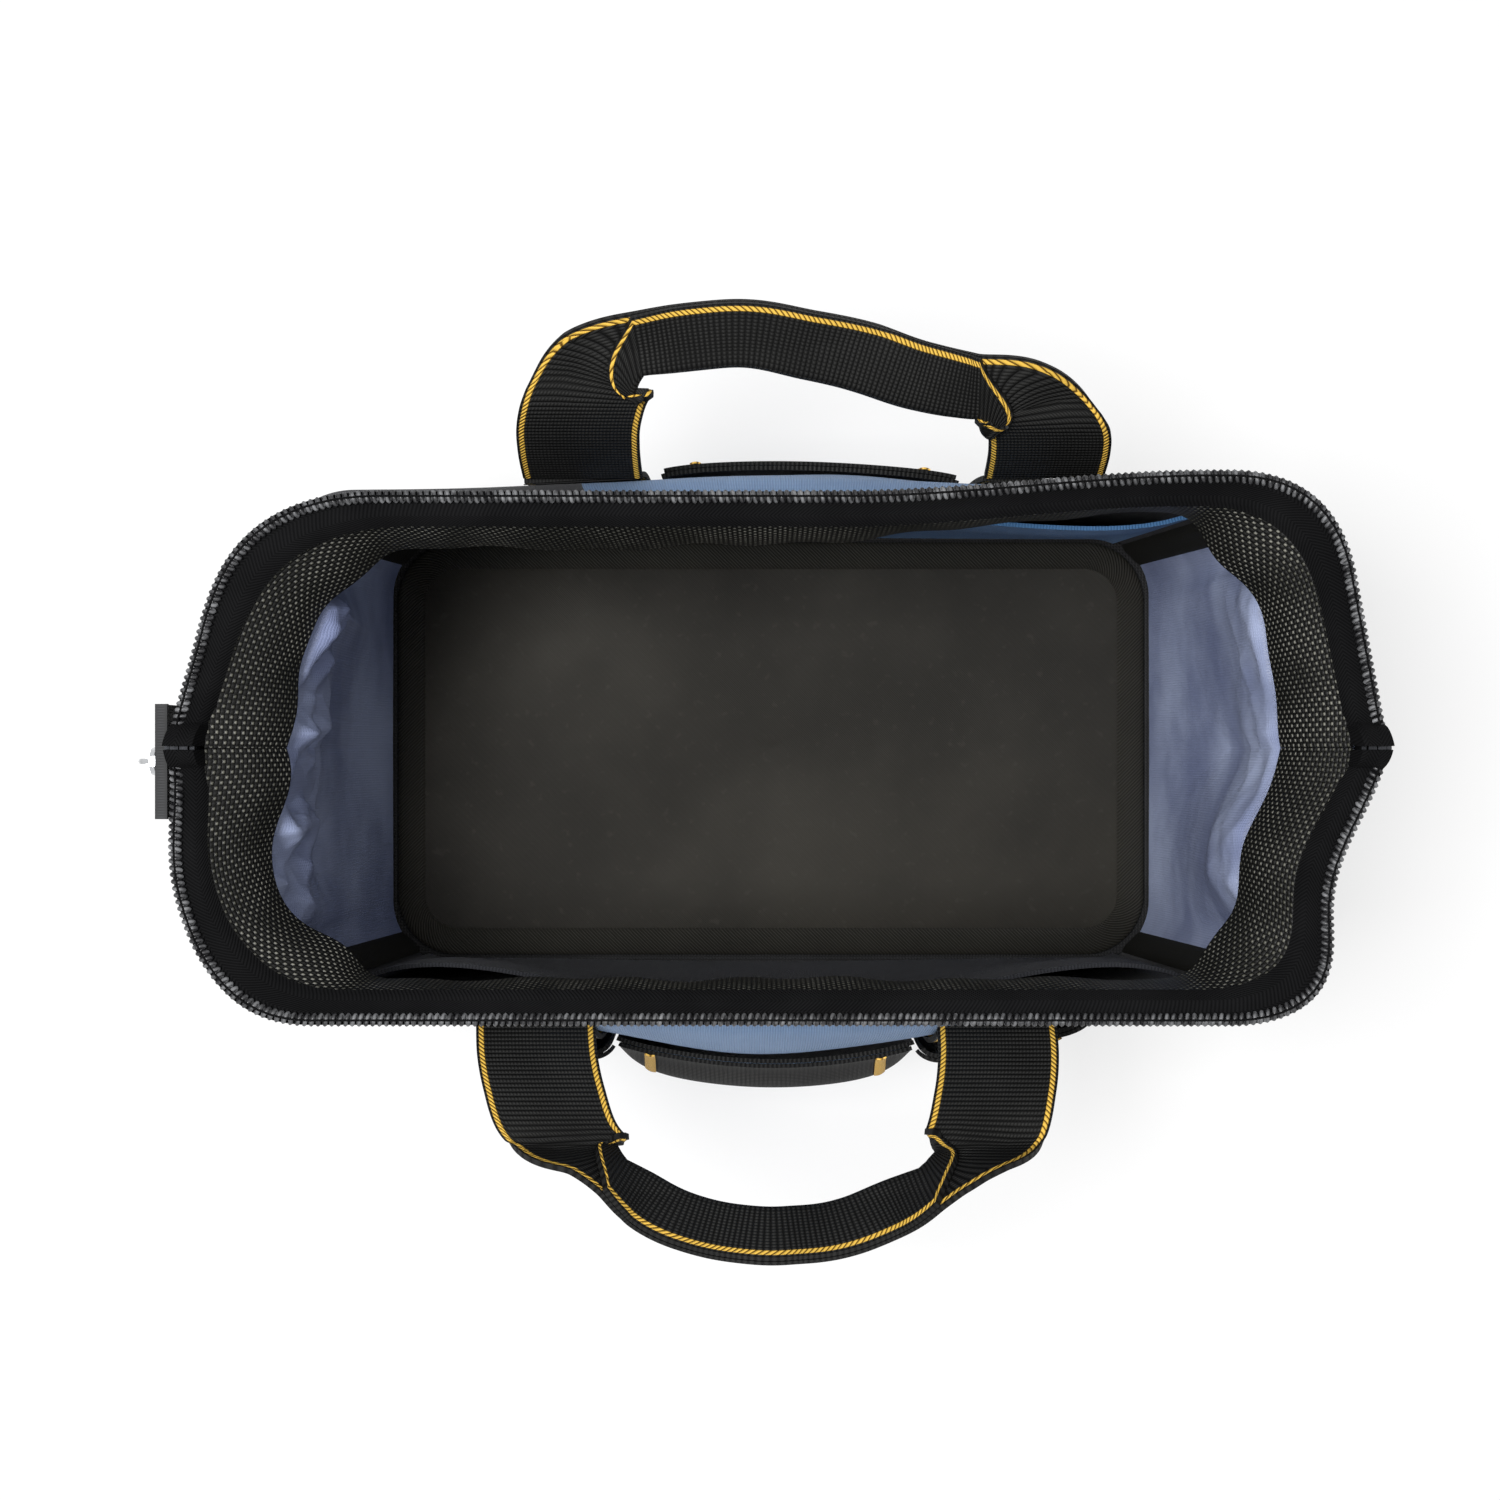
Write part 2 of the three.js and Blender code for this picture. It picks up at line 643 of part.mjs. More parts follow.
const leftPitch = (frontPocketWidth + leftPocketWidth) / 2 + pocketSpacing;
const rightPitch = (frontPocketWidth + rightPocketWidth) / 2 + pocketSpacing;
const outerPockets = [
  ["front_centre_pocket", -1, frontShift, frontPocketWidth, frontPocketDepth, frontMouthDraw, "blueFabric"],
  ["front_left_pocket", -1, frontShift - leftPitch, leftPocketWidth, sidePocketDepth, 0, "greyFabric"],
  ["front_right_pocket", -1, frontShift + rightPitch, rightPocketWidth, sidePocketDepth, 0, "greyFabric"],
  ["rear_pocket", 1, rearShift, rearPocketWidth, rearPocketDepth, 0, "blueFabric"],
];

function makeOuterPockets() {
  const betweenStraps = handleSpacing - webbingWidth;
  for (const [name, side, middle, width, depth, mouthDraw, finish] of outerPockets) {
    const clearOfStraps = 2 * Math.abs(middle - handleMiddle(side)) + width < betweenStraps;
    const room = clearOfStraps ? 0 : webbingThickness + sewnGap;
    const body = outerPocket(side, middle, width, depth, mouthDraw, room);
    addPiece(name, sheetSolid(body, pocketSteps, pocketRows, pocketThickness), finish);
    addPiece(name + "_hem", sheetSolid(pocketHem(body), pocketSteps - 2, 1, hemThickness), "webbing");
  }
}

// The pockets inside: one long panel on each long wall
function makeInnerPockets() {
  const panels = [
    ["front_inner_pocket", -1, frontInnerDepth, "greyFabric"],
    ["rear_inner_pocket", 1, rearInnerDepth, "blueFabric"],
  ];
  for (const [name, side, depth, finish] of panels) {
    const half = baseLength / 2 - cornerRadius - innerPocketEnd;
    const surface = (u, v) => {
      const across = side < 0 ? 1 - u : u;
      const x = lerp(-half, half, across);
      const z = lerp(floorTop + fit, innerPocketTop, v);
      const off = (wallThickness + pocketThickness) / 2 + sewnGap + pocketGap(depth, across, v);
      return new THREE.Vector3(x, longWallY(side, x, z) - side * off, z);
    };
    addPiece(name, sheetSolid(surface, 14, 5, pocketThickness), finish);
  }
}

// Webbing: straps sewn down the walls, and the two handles that rise from them

const handleMiddle = (side) => (side > 0 ? rearShift : frontShift);

function makeStraps() {
  for (const [row, side] of [["front", -1], ["rear", 1]]) {
    for (const [column, end] of [["left", -1], ["right", 1]]) {
      const middle = handleMiddle(side) + (end * handleSpacing) / 2;
      const surface = (u, v) => {
        const x = middle + (side < 0 ? u - 0.5 : 0.5 - u) * webbingWidth;
        const z = lerp(pocketFoot, handleRootHeight - webbingThickness / 2 - sewnGap, v);
        const off = (wallThickness + webbingThickness) / 2 + sewnGap;
        return new THREE.Vector3(x, longWallY(side, x, z) + side * off, z);
      };
      addPiece(row + "_" + column + "_strap", sheetSolid(surface, 3, 7, webbingThickness), "webbing");
    }
  }
}

// A handle is one strip: flat along each leg, turned through a corner, and folded in half along the grip.
// station runs from 0 at the left root to 1 at the right root, and across from -1 to 1 over the width.
const frontHandle = {
  side: -1,
  middle: frontShift,
  lift: THREE.MathUtils.degToRad(frontHandleLift),
  roll: THREE.MathUtils.degToRad(frontGripRoll),
  crease: frontCrease,
};
const rearHandle = {
  side: 1,
  middle: rearShift,
  lift: THREE.MathUtils.degToRad(rearHandleLift),
  roll: THREE.MathUtils.degToRad(rearGripRoll),
  crease: rearCrease,
};

// The crease's path in the handle's own plane, from the left root to the right one
function creasePath({ crease }) {
  const leg = handleSpacing / 2;
  return new THREE.SplineCurve(crease.map(([x, out]) => new THREE.Vector2(x * leg, out * handleDepth)));
}

// The strip in that plane: its inner half folds over onto its outer half along the grip, which rolls
function handlePlanePoint(path, roll, station, across) {
  const crease = path.getPointAt(station);
  const tangent = path.getTangentAt(station);
  const outward = new THREE.Vector2(-tangent.y, tangent.x);
  const fromRoot = 1 - Math.abs(2 * station - 1);
  const share = smooth(clamp01((fromRoot - foldStart) / (foldEnd - foldStart)));
  const reach = Math.abs(across) * webbingWidth / 2;
  const apart = share * (foldGap + webbingThickness / 2) * clamp01(reach / (2 * foldGap));
  const tilt = share * Math.PI;
  const inner = across > 0;
  const move = inner ? -reach * Math.cos(tilt) : reach;
  const height = inner ? apart + reach * Math.sin(tilt) * foldLift : -apart;
  const [c, s] = [Math.cos(share * roll), Math.sin(share * roll)];
  const p = crease.addScaledVector(outward, move * c - height * s);
  return new THREE.Vector3(p.x, p.y, move * s + height * c);
}

function handleSurface(handle) {
  const path = creasePath(handle);
  const wall = Math.abs(longWallY(handle.side, handleSpacing / 2, handleRootHeight));
  const root = wall + wallThickness / 2 + handleStandOff;
  const [rise, run] = [Math.sin(handle.lift), Math.cos(handle.lift)];
  return (u, v) => {
    const flat = handlePlanePoint(path, handle.roll, u, 2 * v - 1);
    const up = flat.z + handleBow * Math.sin(Math.PI * clamp01(flat.y / handleDepth));
    const y = handle.side * (root + flat.y * run - up * rise);
    return new THREE.Vector3(handle.middle + flat.x, y, handleRootHeight + flat.y * rise + up * run);
  };
}

function makeHandles() {
  for (const [name, handle] of [["front_handle", frontHandle], ["rear_handle", rearHandle]]) {
    const surface = handleSurface(handle);
    const facing = handle.side < 0 ? surface : (u, v) => surface(1 - u, v);
    addPiece(name, sheetSolid(facing, 34, 6, webbingThickness), "webbing");
  }
}

// The zip's left end: its tail runs out past the rivet and hangs down,
// and the slider rides in the slot between its tapes

function zipEndPlaces() {
  const [, outerEye] = eyeFaces(1);
  const start = outerEye + fit + rivetHeadThickness + fit;
  const face = start + tailReach;
  return { start, face, top: rimHeight - tailThickness };
}

function zipTail() {
  const { start, face, top } = zipEndPlaces();
  const bend = tailReach - 1;
  const route = new THREE.CurvePath();
  const at = (x, z) => new THREE.Vector2(-x, z);
  route.add(new THREE.LineCurve(at(start, top), at(face - bend, top)));
  route.add(new THREE.QuadraticBezierCurve(at(face - bend, top), at(face, top), at(face, top - bend)));
  route.add(new THREE.LineCurve(at(face, top - bend), at(face, top - tailDrop)));
  const strip = (u, v) => {
    const p = route.getPointAt(v);
    return new THREE.Vector3(p.x, tailShift + (0.5 - u) * tailWidth, p.y);
  };
  const slotTop = top - bend - fit;
  const slot = boxBetween(
    [-face - tailThickness, tailShift - slotWidth / 2, slotTop - sliderLength - sliderTravel],
    [-face + tailThickness, tailShift + slotWidth / 2, slotTop]);
  return cut(sheetSolid(strip, 2, 14, tailThickness), slot);
}

function sliderPlaces() {
  const { face, top } = zipEndPlaces();
  const high = top - tailReach - fit;
  const clear = tailThickness / 2 + fit;
  const outside = -face - clear - plateThickness;
  const bailX = outside - bailRing + bailSink;
  return { face, high, low: high - sliderLength, clear, outside, bailX };
}

function sliderPlate(x0) {
  const { low } = sliderPlaces();
  const half = sliderWidth / 2;
  const nose = half / 3;
  const outline = new THREE.Shape();
  outline.moveTo(-half, 0);
  outline.quadraticCurveTo(-half, sliderLength, -nose, sliderLength);
  outline.lineTo(nose, sliderLength);
  outline.quadraticCurveTo(half, sliderLength, half, 0);
  outline.closePath();
  const settings = { depth: plateThickness, bevelEnabled: false, curveSegments: 5 };
  const made = new THREE.ExtrudeGeometry(outline, settings);
  return made.rotateX(Math.PI / 2).rotateZ(-Math.PI / 2).translate(x0 + plateThickness, tailShift, low);
}

const bailHeight = () => sliderPlaces().low + sliderLength / 2;

// Two plates, a post between them that runs in the slot, and a round bail on the outer plate
function sliderBody() {
  const { face, high, clear, outside, bailX } = sliderPlaces();
  const bite = plateThickness / 2;
  const post = boxBetween(
    [-face - clear - bite, tailShift - slotWidth / 2 + fit, high - postHeight],
    [-face + clear + bite, tailShift + slotWidth / 2 - fit, high - fit]);
  const bail = new THREE.TorusGeometry(bailRing, bailRadius, 6, 16).rotateX(Math.PI / 2);
  bail.translate(bailX, tailShift, bailHeight());
  return joined(sliderPlate(outside), sliderPlate(-face + clear), post, bail);
}

// The pull hangs by a crossbar inside the bail, and its window clears the bail's lower side
function zipPull() {
  const { bailX } = sliderPlaces();
  const top = bailHeight() + crossbarHeight / 2;
  const [x0, x1] = [bailX - pullThickness / 2, bailX + pullThickness / 2];
  const half = pullWidth / 2;
  const outline = new THREE.Shape();
  outline.moveTo(-half, 0);
  outline.lineTo(half, 0);
  outline.lineTo(half, -pullLength + half);
  outline.absarc(0, -pullLength + half, half, 0, -Math.PI, true);
  outline.closePath();
  const settings = { depth: pullThickness, bevelEnabled: false, curveSegments: 8 };
  const tab = new THREE.ExtrudeGeometry(outline, settings);
  tab.rotateX(Math.PI / 2).rotateZ(-Math.PI / 2).translate(x1, tailShift, top);
  const window = boxBetween(
    [x0 - 1, tailShift - windowWidth / 2, top - crossbarHeight - windowHeight],
    [x1 + 1, tailShift + windowWidth / 2, top - crossbarHeight]);
  return cut(tab, window);
}

function makeZipEnd() {
  addPiece("zip_tail", zipTail(), "zipTape");
  addPiece("zip_slider", sliderBody(), "slider");
  addPiece("zip_pull", zipPull(), "slider");
}

makeFloor();
makeWalls();
makeCornerBindings();
makeMouthFrame();
makeRivets();
makeOuterPockets();
makeInnerPockets();
makeStraps();
makeHandles();
makeZipEnd();

export default tote;
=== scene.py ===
"""Dresses the tool tote bag: cloth walls and lining, the zipped rim, webbing handles, pockets and trim.

Metres, +Z up, the middle of the bag's underside at the origin, -Y its front. Every new piece is a surface
worked out with numpy on a grid of two parameters, or a profile carried along a path.
"""

import bpy
import numpy as np
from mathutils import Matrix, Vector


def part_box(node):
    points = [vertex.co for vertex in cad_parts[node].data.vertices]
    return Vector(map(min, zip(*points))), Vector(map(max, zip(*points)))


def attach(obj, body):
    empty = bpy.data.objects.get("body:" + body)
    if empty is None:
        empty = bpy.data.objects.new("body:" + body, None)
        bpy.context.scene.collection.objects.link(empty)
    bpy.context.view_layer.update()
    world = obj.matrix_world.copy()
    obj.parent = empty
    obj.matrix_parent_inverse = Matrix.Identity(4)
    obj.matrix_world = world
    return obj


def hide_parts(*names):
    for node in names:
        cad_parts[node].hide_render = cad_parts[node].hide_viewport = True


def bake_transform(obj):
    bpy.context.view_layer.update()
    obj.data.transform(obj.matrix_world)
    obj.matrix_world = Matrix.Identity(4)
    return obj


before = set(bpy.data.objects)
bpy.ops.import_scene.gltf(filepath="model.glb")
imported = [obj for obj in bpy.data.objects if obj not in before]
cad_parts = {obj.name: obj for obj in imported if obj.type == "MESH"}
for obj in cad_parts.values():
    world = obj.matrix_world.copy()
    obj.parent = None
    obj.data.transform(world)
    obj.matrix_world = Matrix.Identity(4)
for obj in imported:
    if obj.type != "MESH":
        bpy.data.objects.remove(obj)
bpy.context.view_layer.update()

# Sizes of the tub
BASE_LENGTH = 0.300
BASE_WIDTH = 0.170
MOUTH_LENGTH = 0.326
MOUTH_WIDTH = 0.160
CORNER = 0.026
WALL_SWELL_TOP = 0.184
WALL_SWELL_RISE = 1.25
WALL_FOOT = 0.0022
WALL_TOP = 0.192
WALL_THICK = 0.0016
FRONT_BULGE = 0.021
REAR_BULGE = 0.009
END_BULGE = 0.003
FLOOR_TOP = 0.0074
PEAK_START = 0.095
TUCK_START = 0.162
TUCK_END = 0.1858
TUCK_INSET = 0.003
TUCK_SPREAD = 1.7
TURN_START = 0.1802
TURN_END = 0.1865
TURN_ROWS = 26
SHUT_ANGLE = np.radians(84)
WALL_RIPPLE = 0.0011
SOLID_WALL = 0.0018
SEAM_SHARE = 0.999
PEAK_SHORT = 0.002
RIPPLE_FOOT = 0.05
RIPPLE_TOP = 0.13
RIPPLE_RUN = 0.05

# Sizes of the lining and its crumples, left and right, and of the pleats and bindings
LINING_TOP = 0.1873
LINING_GAP = 0.0028
LINING_THICK = 0.0008
LINING_FOOT = FLOOR_TOP + 0.0004
LINING_BEHIND = 0.0006
CRUMPLE_DEPTH = {-1: 0.0088, 1: 0.0044}
CRUMPLE_CREASE = {-1: 0.0165, 1: 0.0040}
CRUMPLE_HALF_WIDTH = 0.038
CRUMPLE_FADE = 0.030
SHELF_START = 0.118
SHELF_RISE = 0.046
SHELF_END = 0.1755
SHELF_DROP = 0.0095
HANG_HALF_WIDTH = 0.040
HANG_FADE = 0.028
HANG_START = 0.020
HANG_RISE = 0.130
PLEAT_HALF_WIDTH = 0.036
PLEAT_FOOT = 0.150
PLEAT_TOP = 0.2035
PLEAT_THICK = 0.0005
PLEAT_INSET = 0.0042
PLEAT_OFF = 0.0014
PLEAT_REACH = 0.0835
PLEAT_TURN = 0.180
PLEAT_TURN_RUN = 0.010
PLEAT_RIM_PART = 0.03
BINDING_WIDTH = 0.012
BINDING_FOOT = FLOOR_TOP + 0.0006
BINDING_TOP = 0.1895
BINDING_THICK = 0.0010
BINDING_ARCH = 0.0016

# Sizes of the floor
FLOOR_COVER_THICK = 0.0012
FLOOR_RIPPLE = 0.0007
FLOOR_CORNER = 0.014
FLOOR_CROWN = 0.0009
FLOOR_BEAD = 0.0049
FLOOR_BEAD_CORNER = 0.018
FLOOR_BEAD_RISE = 0.0014
FLOOR_BEAD_THICK = 0.0008
FLOOR_BEAD_INSET = 0.0045
FLOOR_BEAD_LIFT = 0.0010
FLOOR_OVERHANG = 0.0002

# Sizes of the rim, left and right of each side
RIM_Z = 0.213
RIM_HALF_LENGTH = MOUTH_LENGTH / 2 + 0.002
RIM_HALF_WIDTH = MOUTH_WIDTH / 2 + 0.002
RIM_PIVOT = 0.180
RIM_GAP = 0.0006
RIM_CORNERS = {-1: (0.026, 0.030), 1: (0.046, 0.030)}
ARM_BOWS = {-1: (0.006, -0.008), 1: (-0.002, 0.0)}
REAR_DRAW_IN = 0.006
DRAW_IN_START = 0.020
DRAW_IN_RUN = 0.110
RIM_TOP = RIM_Z - 0.0028
SLEEVE_FOOT = RIM_TOP - 0.024
SLEEVE_INSET = 0.0075
SLEEVE_SIDE_LEAN = {-1: (0.003, 0.003), 1: (0.0065, 0.0015)}
SLEEVE_END_LEAN = 0.012
SLEEVE_HANG = {-1: 0.0095, 1: 0.0045}
SLEEVE_HANG_RUN = 0.062
SLEEVE_GAP = 0.0002
SLEEVE_SAG = 0.0012
SLEEVE_END_SAG = 0.0016
SLEEVE_WAVE = 0.0010
SLEEVE_FOOT_WAVE = 0.0004
SLEEVE_TUCK = 0.0026
SLEEVE_TUCK_RUN = 0.009
SIDE_LEAN_START = -0.06
SIDE_LEAN_RUN = 0.16
FOOT_END_START = 0.138
LEAN_START = 0.120
LEAN_RUN = 0.035
HEM_INSET = 0.0009
HEM_LOW = 0.0012
HEM_LOW_RUN = 0.007
BAND_THICK = 0.0016
BAND_TOP = RIM_TOP - 0.0004
TAPE_OUTER = 0.0005
TAPE_INNER = 0.0102
TAPE_Z = RIM_TOP + 0.0009
TAPE_THICK = 0.0007
TAPE_DROOP = 0.0016
TAPE_DROOP_START = 0.6
PIVOT_CROWDING = 0.0576
KNUCKLE_RADIUS = {-1: 0.0053, 1: 0.0066}
KNUCKLE_EASE = 0.0022
KNUCKLE_EASE_RUN = 0.005
KNUCKLE_DROP = 0.001
KNUCKLE_EDGE = 0.86
COIL_PITCH = 0.0020
COIL_REACH = 0.0015
COIL_RISE = 0.0009
COIL_WIRE = 0.00058
COIL_INSET = 0.0020
COIL_Z = RIM_TOP + 0.0025
COIL_STEPS = 14
TUBE_SIDES = 6
COIL_GAP = 0.003
STITCH_RADIUS = 0.00032
STITCH_LIFT = 0.0001
STITCH_WAVE = 0.0002

# Sizes of the webbing
WEBBING = 0.038
WEBBING_THICK = 0.0018
SOLID_WEBBING = 0.0020
SEWN_GAP = 0.0008
GOLD_EDGE = 0.0026
GOLD_END = 0.0010
GOLD_FADE = 0.0003
HANDLE_SPACING = 0.147
FRONT_SHIFT = -0.003
REAR_SHIFT = 0.012
HANDLE_ROOT = 0.160
HANDLE_ROOT_Y = {-1: 0.0886, 1: 0.08677}
HANDLE_DEPTH = 0.057
HANDLE_BOW = 0.004
HOLLOW = 0.0042
HOLLOW_PLACE = 0.03
HOLLOW_RUN = 0.05
FOLD_GAP = 0.0006
FOLD_EDGE = 0.94
FOLD_TIP = 0.12
STRAP_TOP = HANDLE_ROOT - 0.0028
STRAP_OFF = (SOLID_WALL + SOLID_WEBBING) / 2 + SEWN_GAP
TUCK_FOOT = STRAP_TOP + 0.0002
TUCK_TOP = HANDLE_ROOT - 0.0012
TUCK_THICK = 0.0003
TUCK_OFF = 0.00135
FRONT_CREASE = [(-1, 0), (-0.982, 0.2), (-0.945, 0.4), (-0.885, 0.61), (-0.79, 0.71), (-0.67, 0.765),
                (-0.492, 0.865), (-0.314, 0.975), (-0.046, 1.05), (0.12, 1.045), (0.31, 1.0),
                (0.506, 0.905), (0.693, 0.83), (0.81, 0.772), (0.916, 0.655), (0.97, 0.415),
                (0.995, 0.2), (1, 0)]
REAR_CREASE = [(-1, 0), (-1, 0.3), (-0.985, 0.55), (-0.93, 0.75), (-0.8, 0.84), (-0.62, 0.88),
               (-0.32, 0.92), (-0.05, 0.85), (0.18, 0.75), (0.4, 0.64), (0.61, 0.575), (0.79, 0.58),
               (0.9, 0.58), (0.97, 0.48), (0.995, 0.28), (1, 0)]
CREASE = {-1: FRONT_CREASE, 1: REAR_CREASE}
FOLDS = {-1: ((0.375, 0.56), (0.34, 0.57)), 1: ((0.40, 0.56), (0.31, 0.48))}
HANDLE_LIFT = {-1: 30, 1: 58}
HANDLE_ROLL = {-1: 18, 1: -29}
HANDLE_TWIST = {-1: 30, 1: 14}
HANDLE_KINK = {-1: 0.0009, 1: 0.0003}
KINK_WAVES = 41.0
KINK_START = 0.6
KINK_RUN = 0.3
ROLL_RATE = 1.6
EDGE_RIBS = 0.86
FOLD_ROLL_RUN = 0.12

# Sizes of the pockets
POCKET_FOOT = 0.014
POCKET_TOP = 0.122
POCKET_THICK = 0.0014
SOLID_POCKET = 0.0016
POCKET_OFF = (SOLID_WALL + SOLID_POCKET) / 2 + SEWN_GAP
POCKET_RIPPLE = 0.0012
POCKET_FULLNESS = 1.15
POCKET_MOUTH = 0.76
HEM_HEIGHT = 0.020
HEM_START = 1 - HEM_HEIGHT / (POCKET_TOP - POCKET_FOOT)
HEM_END = 0.012
HEM_OFF = 0.0016
HEM_THICK = 0.0013
TACK_PLACE = 0.0115
TACK_WIDTH = 0.0034
TACK_OFF = 0.0024
TACK_CROWN = 0.0004
TACK_THICK = 0.0006
TACK_FOOT = 0.05
TACK_TOP = 0.998
INNER_FOOT = FLOOR_TOP + 0.0005
INNER_TOP = 0.132
INNER_REACH = 0.93
INNER_DIP = 0.004
INNER_WAVE = 0.0012
INNER_WAVES = 21.0
DIVIDER_DRAW = 0.45
DIVIDER_WIDTH = 0.005

# Pitches of the weaves
SLEEVE_BEAD_LENGTH = 0.0015
SLEEVE_BEAD_WIDTH = 0.00115
RIB_PITCH = 0.0015
CORD_PITCH = 0.0011
CHAIN_PITCH = 0.0015
CHAIN_SLANT = 0.9
HERRINGBONE_WIDTH = 0.0042
HERRINGBONE_PITCH = 0.0012
LINING_PITCH = 0.0009
FLOOR_PITCH = 0.0009
TACK_PITCH = 0.0008
TACK_SLANT = 0.35

# Light and camera: a lamp has a spot, a size and a power
WORLD_LIGHT = 0.36
FLOOR_GLOW = 0.7
STAGE_REACH = 4.0
STAGE_DROP = 0.0004
LIGHT_AIM = np.array([0.0, 0.0, 0.05])
KEY_LIGHT = ((-0.36, 0.0, 1.40), 0.40, 20.0)
FILL_LIGHT = ((0.45, 0.10, 1.40), 0.60, 2.8)
CAMERA_PLACE = (-0.0082, -0.0006, RIM_Z + 0.63)
CAMERA_LENS = 51.4
CAMERA_SENSOR = 36.0

# Front and rear, left and right
SIDES = (("front", -1), ("rear", 1))
ENDS = (("left", -1), ("right", 1))
SHIFT = {-1: FRONT_SHIFT, 1: REAR_SHIFT}
BULGE = {-1: FRONT_BULGE, 1: REAR_BULGE}


# Arrays and shapes

def smooth(t):
    """The smooth step 3t^2 - 2t^3 of t held between 0 and 1."""
    t = np.clip(t, 0.0, 1.0)
    return t * t * (3.0 - 2.0 * t)


def lerp(a, b, t):
    """The value that lies a share t of the way from a to b."""
    return a + (b - a) * t


def grid(columns, rows):
    """Two arrays of parameters from 0 to 1, columns + 1 by rows + 1."""
    return np.meshgrid(np.linspace(0, 1, columns + 1), np.linspace(0, 1, rows + 1), indexing="ij")


def stack(*parts):
    """Arrays of one coordinate each, as one array of points."""
    return np.stack(np.broadcast_arrays(*parts), axis=-1)


def lifted(plan, z):
    """Points of a plan with their heights."""
    return np.concatenate([plan, z[..., None]], axis=-1)


def walked_along(path):
    """The length walked to each point of a path."""
    return np.concatenate([[0.0], np.cumsum(np.linalg.norm(np.diff(path, axis=0), axis=-1))])


def unit(arrows):
    """Arrows divided by their lengths."""
    return arrows / np.maximum(np.linalg.norm(arrows, axis=-1, keepdims=True), 1e-12)


def normals_of(points):
    """Unit normals of a grid surface: the cross product of its two slopes."""
    across = np.gradient(points, axis=0)
    along = np.gradient(points, axis=1)
    return unit(np.cross(across, along))


def ridges(a, b, seed, count, waves):
    """Crumpled folds: a sum of 1 - 2|sin| ridges, each along its own seeded direction."""
    rng = np.random.default_rng(seed)
    total = np.zeros(np.broadcast(a, b).shape)
    for _ in range(count):
        turn = rng.uniform(0, np.pi)
        pitch = rng.uniform(*waves)
        phase = rng.uniform(0, np.pi)
        size = rng.uniform(0.5, 1.0)
        wave = np.sin((a * np.cos(turn) + b * np.sin(turn)) * np.pi / pitch + phase)
        total += size * (1.0 - 2.0 * np.abs(wave))
    return total / count


def ripples(a, b, seed, count, waves):
    """Soft unevenness: a sum of sine waves, each along its own seeded direction."""
    rng = np.random.default_rng(seed)
    total = np.zeros(np.broadcast(a, b).shape)
    for _ in range(count):
        turn = rng.uniform(0, np.pi)
        pitch = rng.uniform(*waves)
        phase = rng.uniform(0, 2 * np.pi)
        total += np.sin((a * np.cos(turn) + b * np.sin(turn)) * 2 * np.pi / pitch + phase)
    return total / count


# Meshes

def lengths_of(points):
    """Cloth coordinates in metres: the mean length walked along each direction of the grid."""
    step_u = np.linalg.norm(np.diff(points, axis=0), axis=-1).mean(axis=1)
    step_v = np.linalg.norm(np.diff(points, axis=1), axis=-1).mean(axis=0)
    u = np.concatenate([[0.0], np.cumsum(step_u)])
    v = np.concatenate([[0.0], np.cumsum(step_v)])
    return np.meshgrid(u, v, indexing="ij")


def quads_of(columns, rows, start=0, flip=False):
    """Corner numbers of every quad of a grid."""
    numbers = start + np.arange((columns + 1) * (rows + 1)).reshape(columns + 1, rows + 1)
    quads = np.stack([numbers[:-1, :-1], numbers[1:, :-1], numbers[1:, 1:], numbers[:-1, 1:]], axis=-1)
    quads = quads.reshape(-1, 4)
    return quads[:, ::-1] if flip else quads


def build_mesh(name, points, faces, cloth, materials, faces_of=None, sharp=40):
    """A mesh object from points, faces, cloth coordinates and the material of each face."""
    mesh = bpy.data.meshes.new(name)
    mesh.from_pydata(points.reshape(-1, 3).tolist(), [], faces)
    layer = mesh.uv_layers.new(name="cloth")
    corners = np.empty(len(mesh.loops), dtype=np.int32)
    mesh.loops.foreach_get("vertex_index", corners)
    layer.data.foreach_set("uv", cloth.reshape(-1, 2)[corners].astype(np.float32).ravel())
    for item in materials:
        mesh.materials.append(item)
    if faces_of is not None:
        mesh.polygons.foreach_set("material_index", np.asarray(faces_of, dtype=np.int32))
    mesh.polygons.foreach_set("use_smooth", np.ones(len(mesh.polygons), dtype=bool))
    mesh.set_sharp_from_angle(angle=np.radians(sharp))
    mesh.update()
    piece = bpy.data.objects.new(name, mesh)
    bpy.context.scene.collection.objects.link(piece)
    return piece


def shell(name, middle, thickness, materials, cloth=None, outside=None, edge=0):
    """A closed sheet: its middle surface moved half its thickness each way along the normal, edges joined.

    materials holds the outer, inner and any further finish; outside gives the finish of each outer quad.
    """
    columns, rows = middle.shape[0] - 1, middle.shape[1] - 1
    normal = normals_of(middle)
    both = np.concatenate([(middle + normal * thickness / 2).reshape(-1, 3),
                           (middle - normal * thickness / 2).reshape(-1, 3)])
    if cloth is None:
        cloth = np.stack(lengths_of(middle), axis=-1)
    cloth = np.concatenate([cloth.reshape(-1, 2)] * 2)
    count = (columns + 1) * (rows + 1)
    number = np.arange(count).reshape(columns + 1, rows + 1)
    loop = np.concatenate([number[:, 0], number[-1, 1:], number[-2::-1, -1], number[0, -2:0:-1]])
    after = np.roll(loop, -1)
    border = np.stack([after, loop, loop + count, after + count], axis=-1)
    quads = np.concatenate([quads_of(columns, rows), quads_of(columns, rows, count, True), border])
    outer = np.zeros(columns * rows, dtype=np.int32) if outside is None else outside.ravel()
    inner = np.full(columns * rows, min(1, len(materials) - 1), dtype=np.int32)
    faces = np.concatenate([outer, inner, np.full(len(border), edge, dtype=np.int32)])
    return build_mesh(name, both, quads.tolist(), cloth, materials, faces)


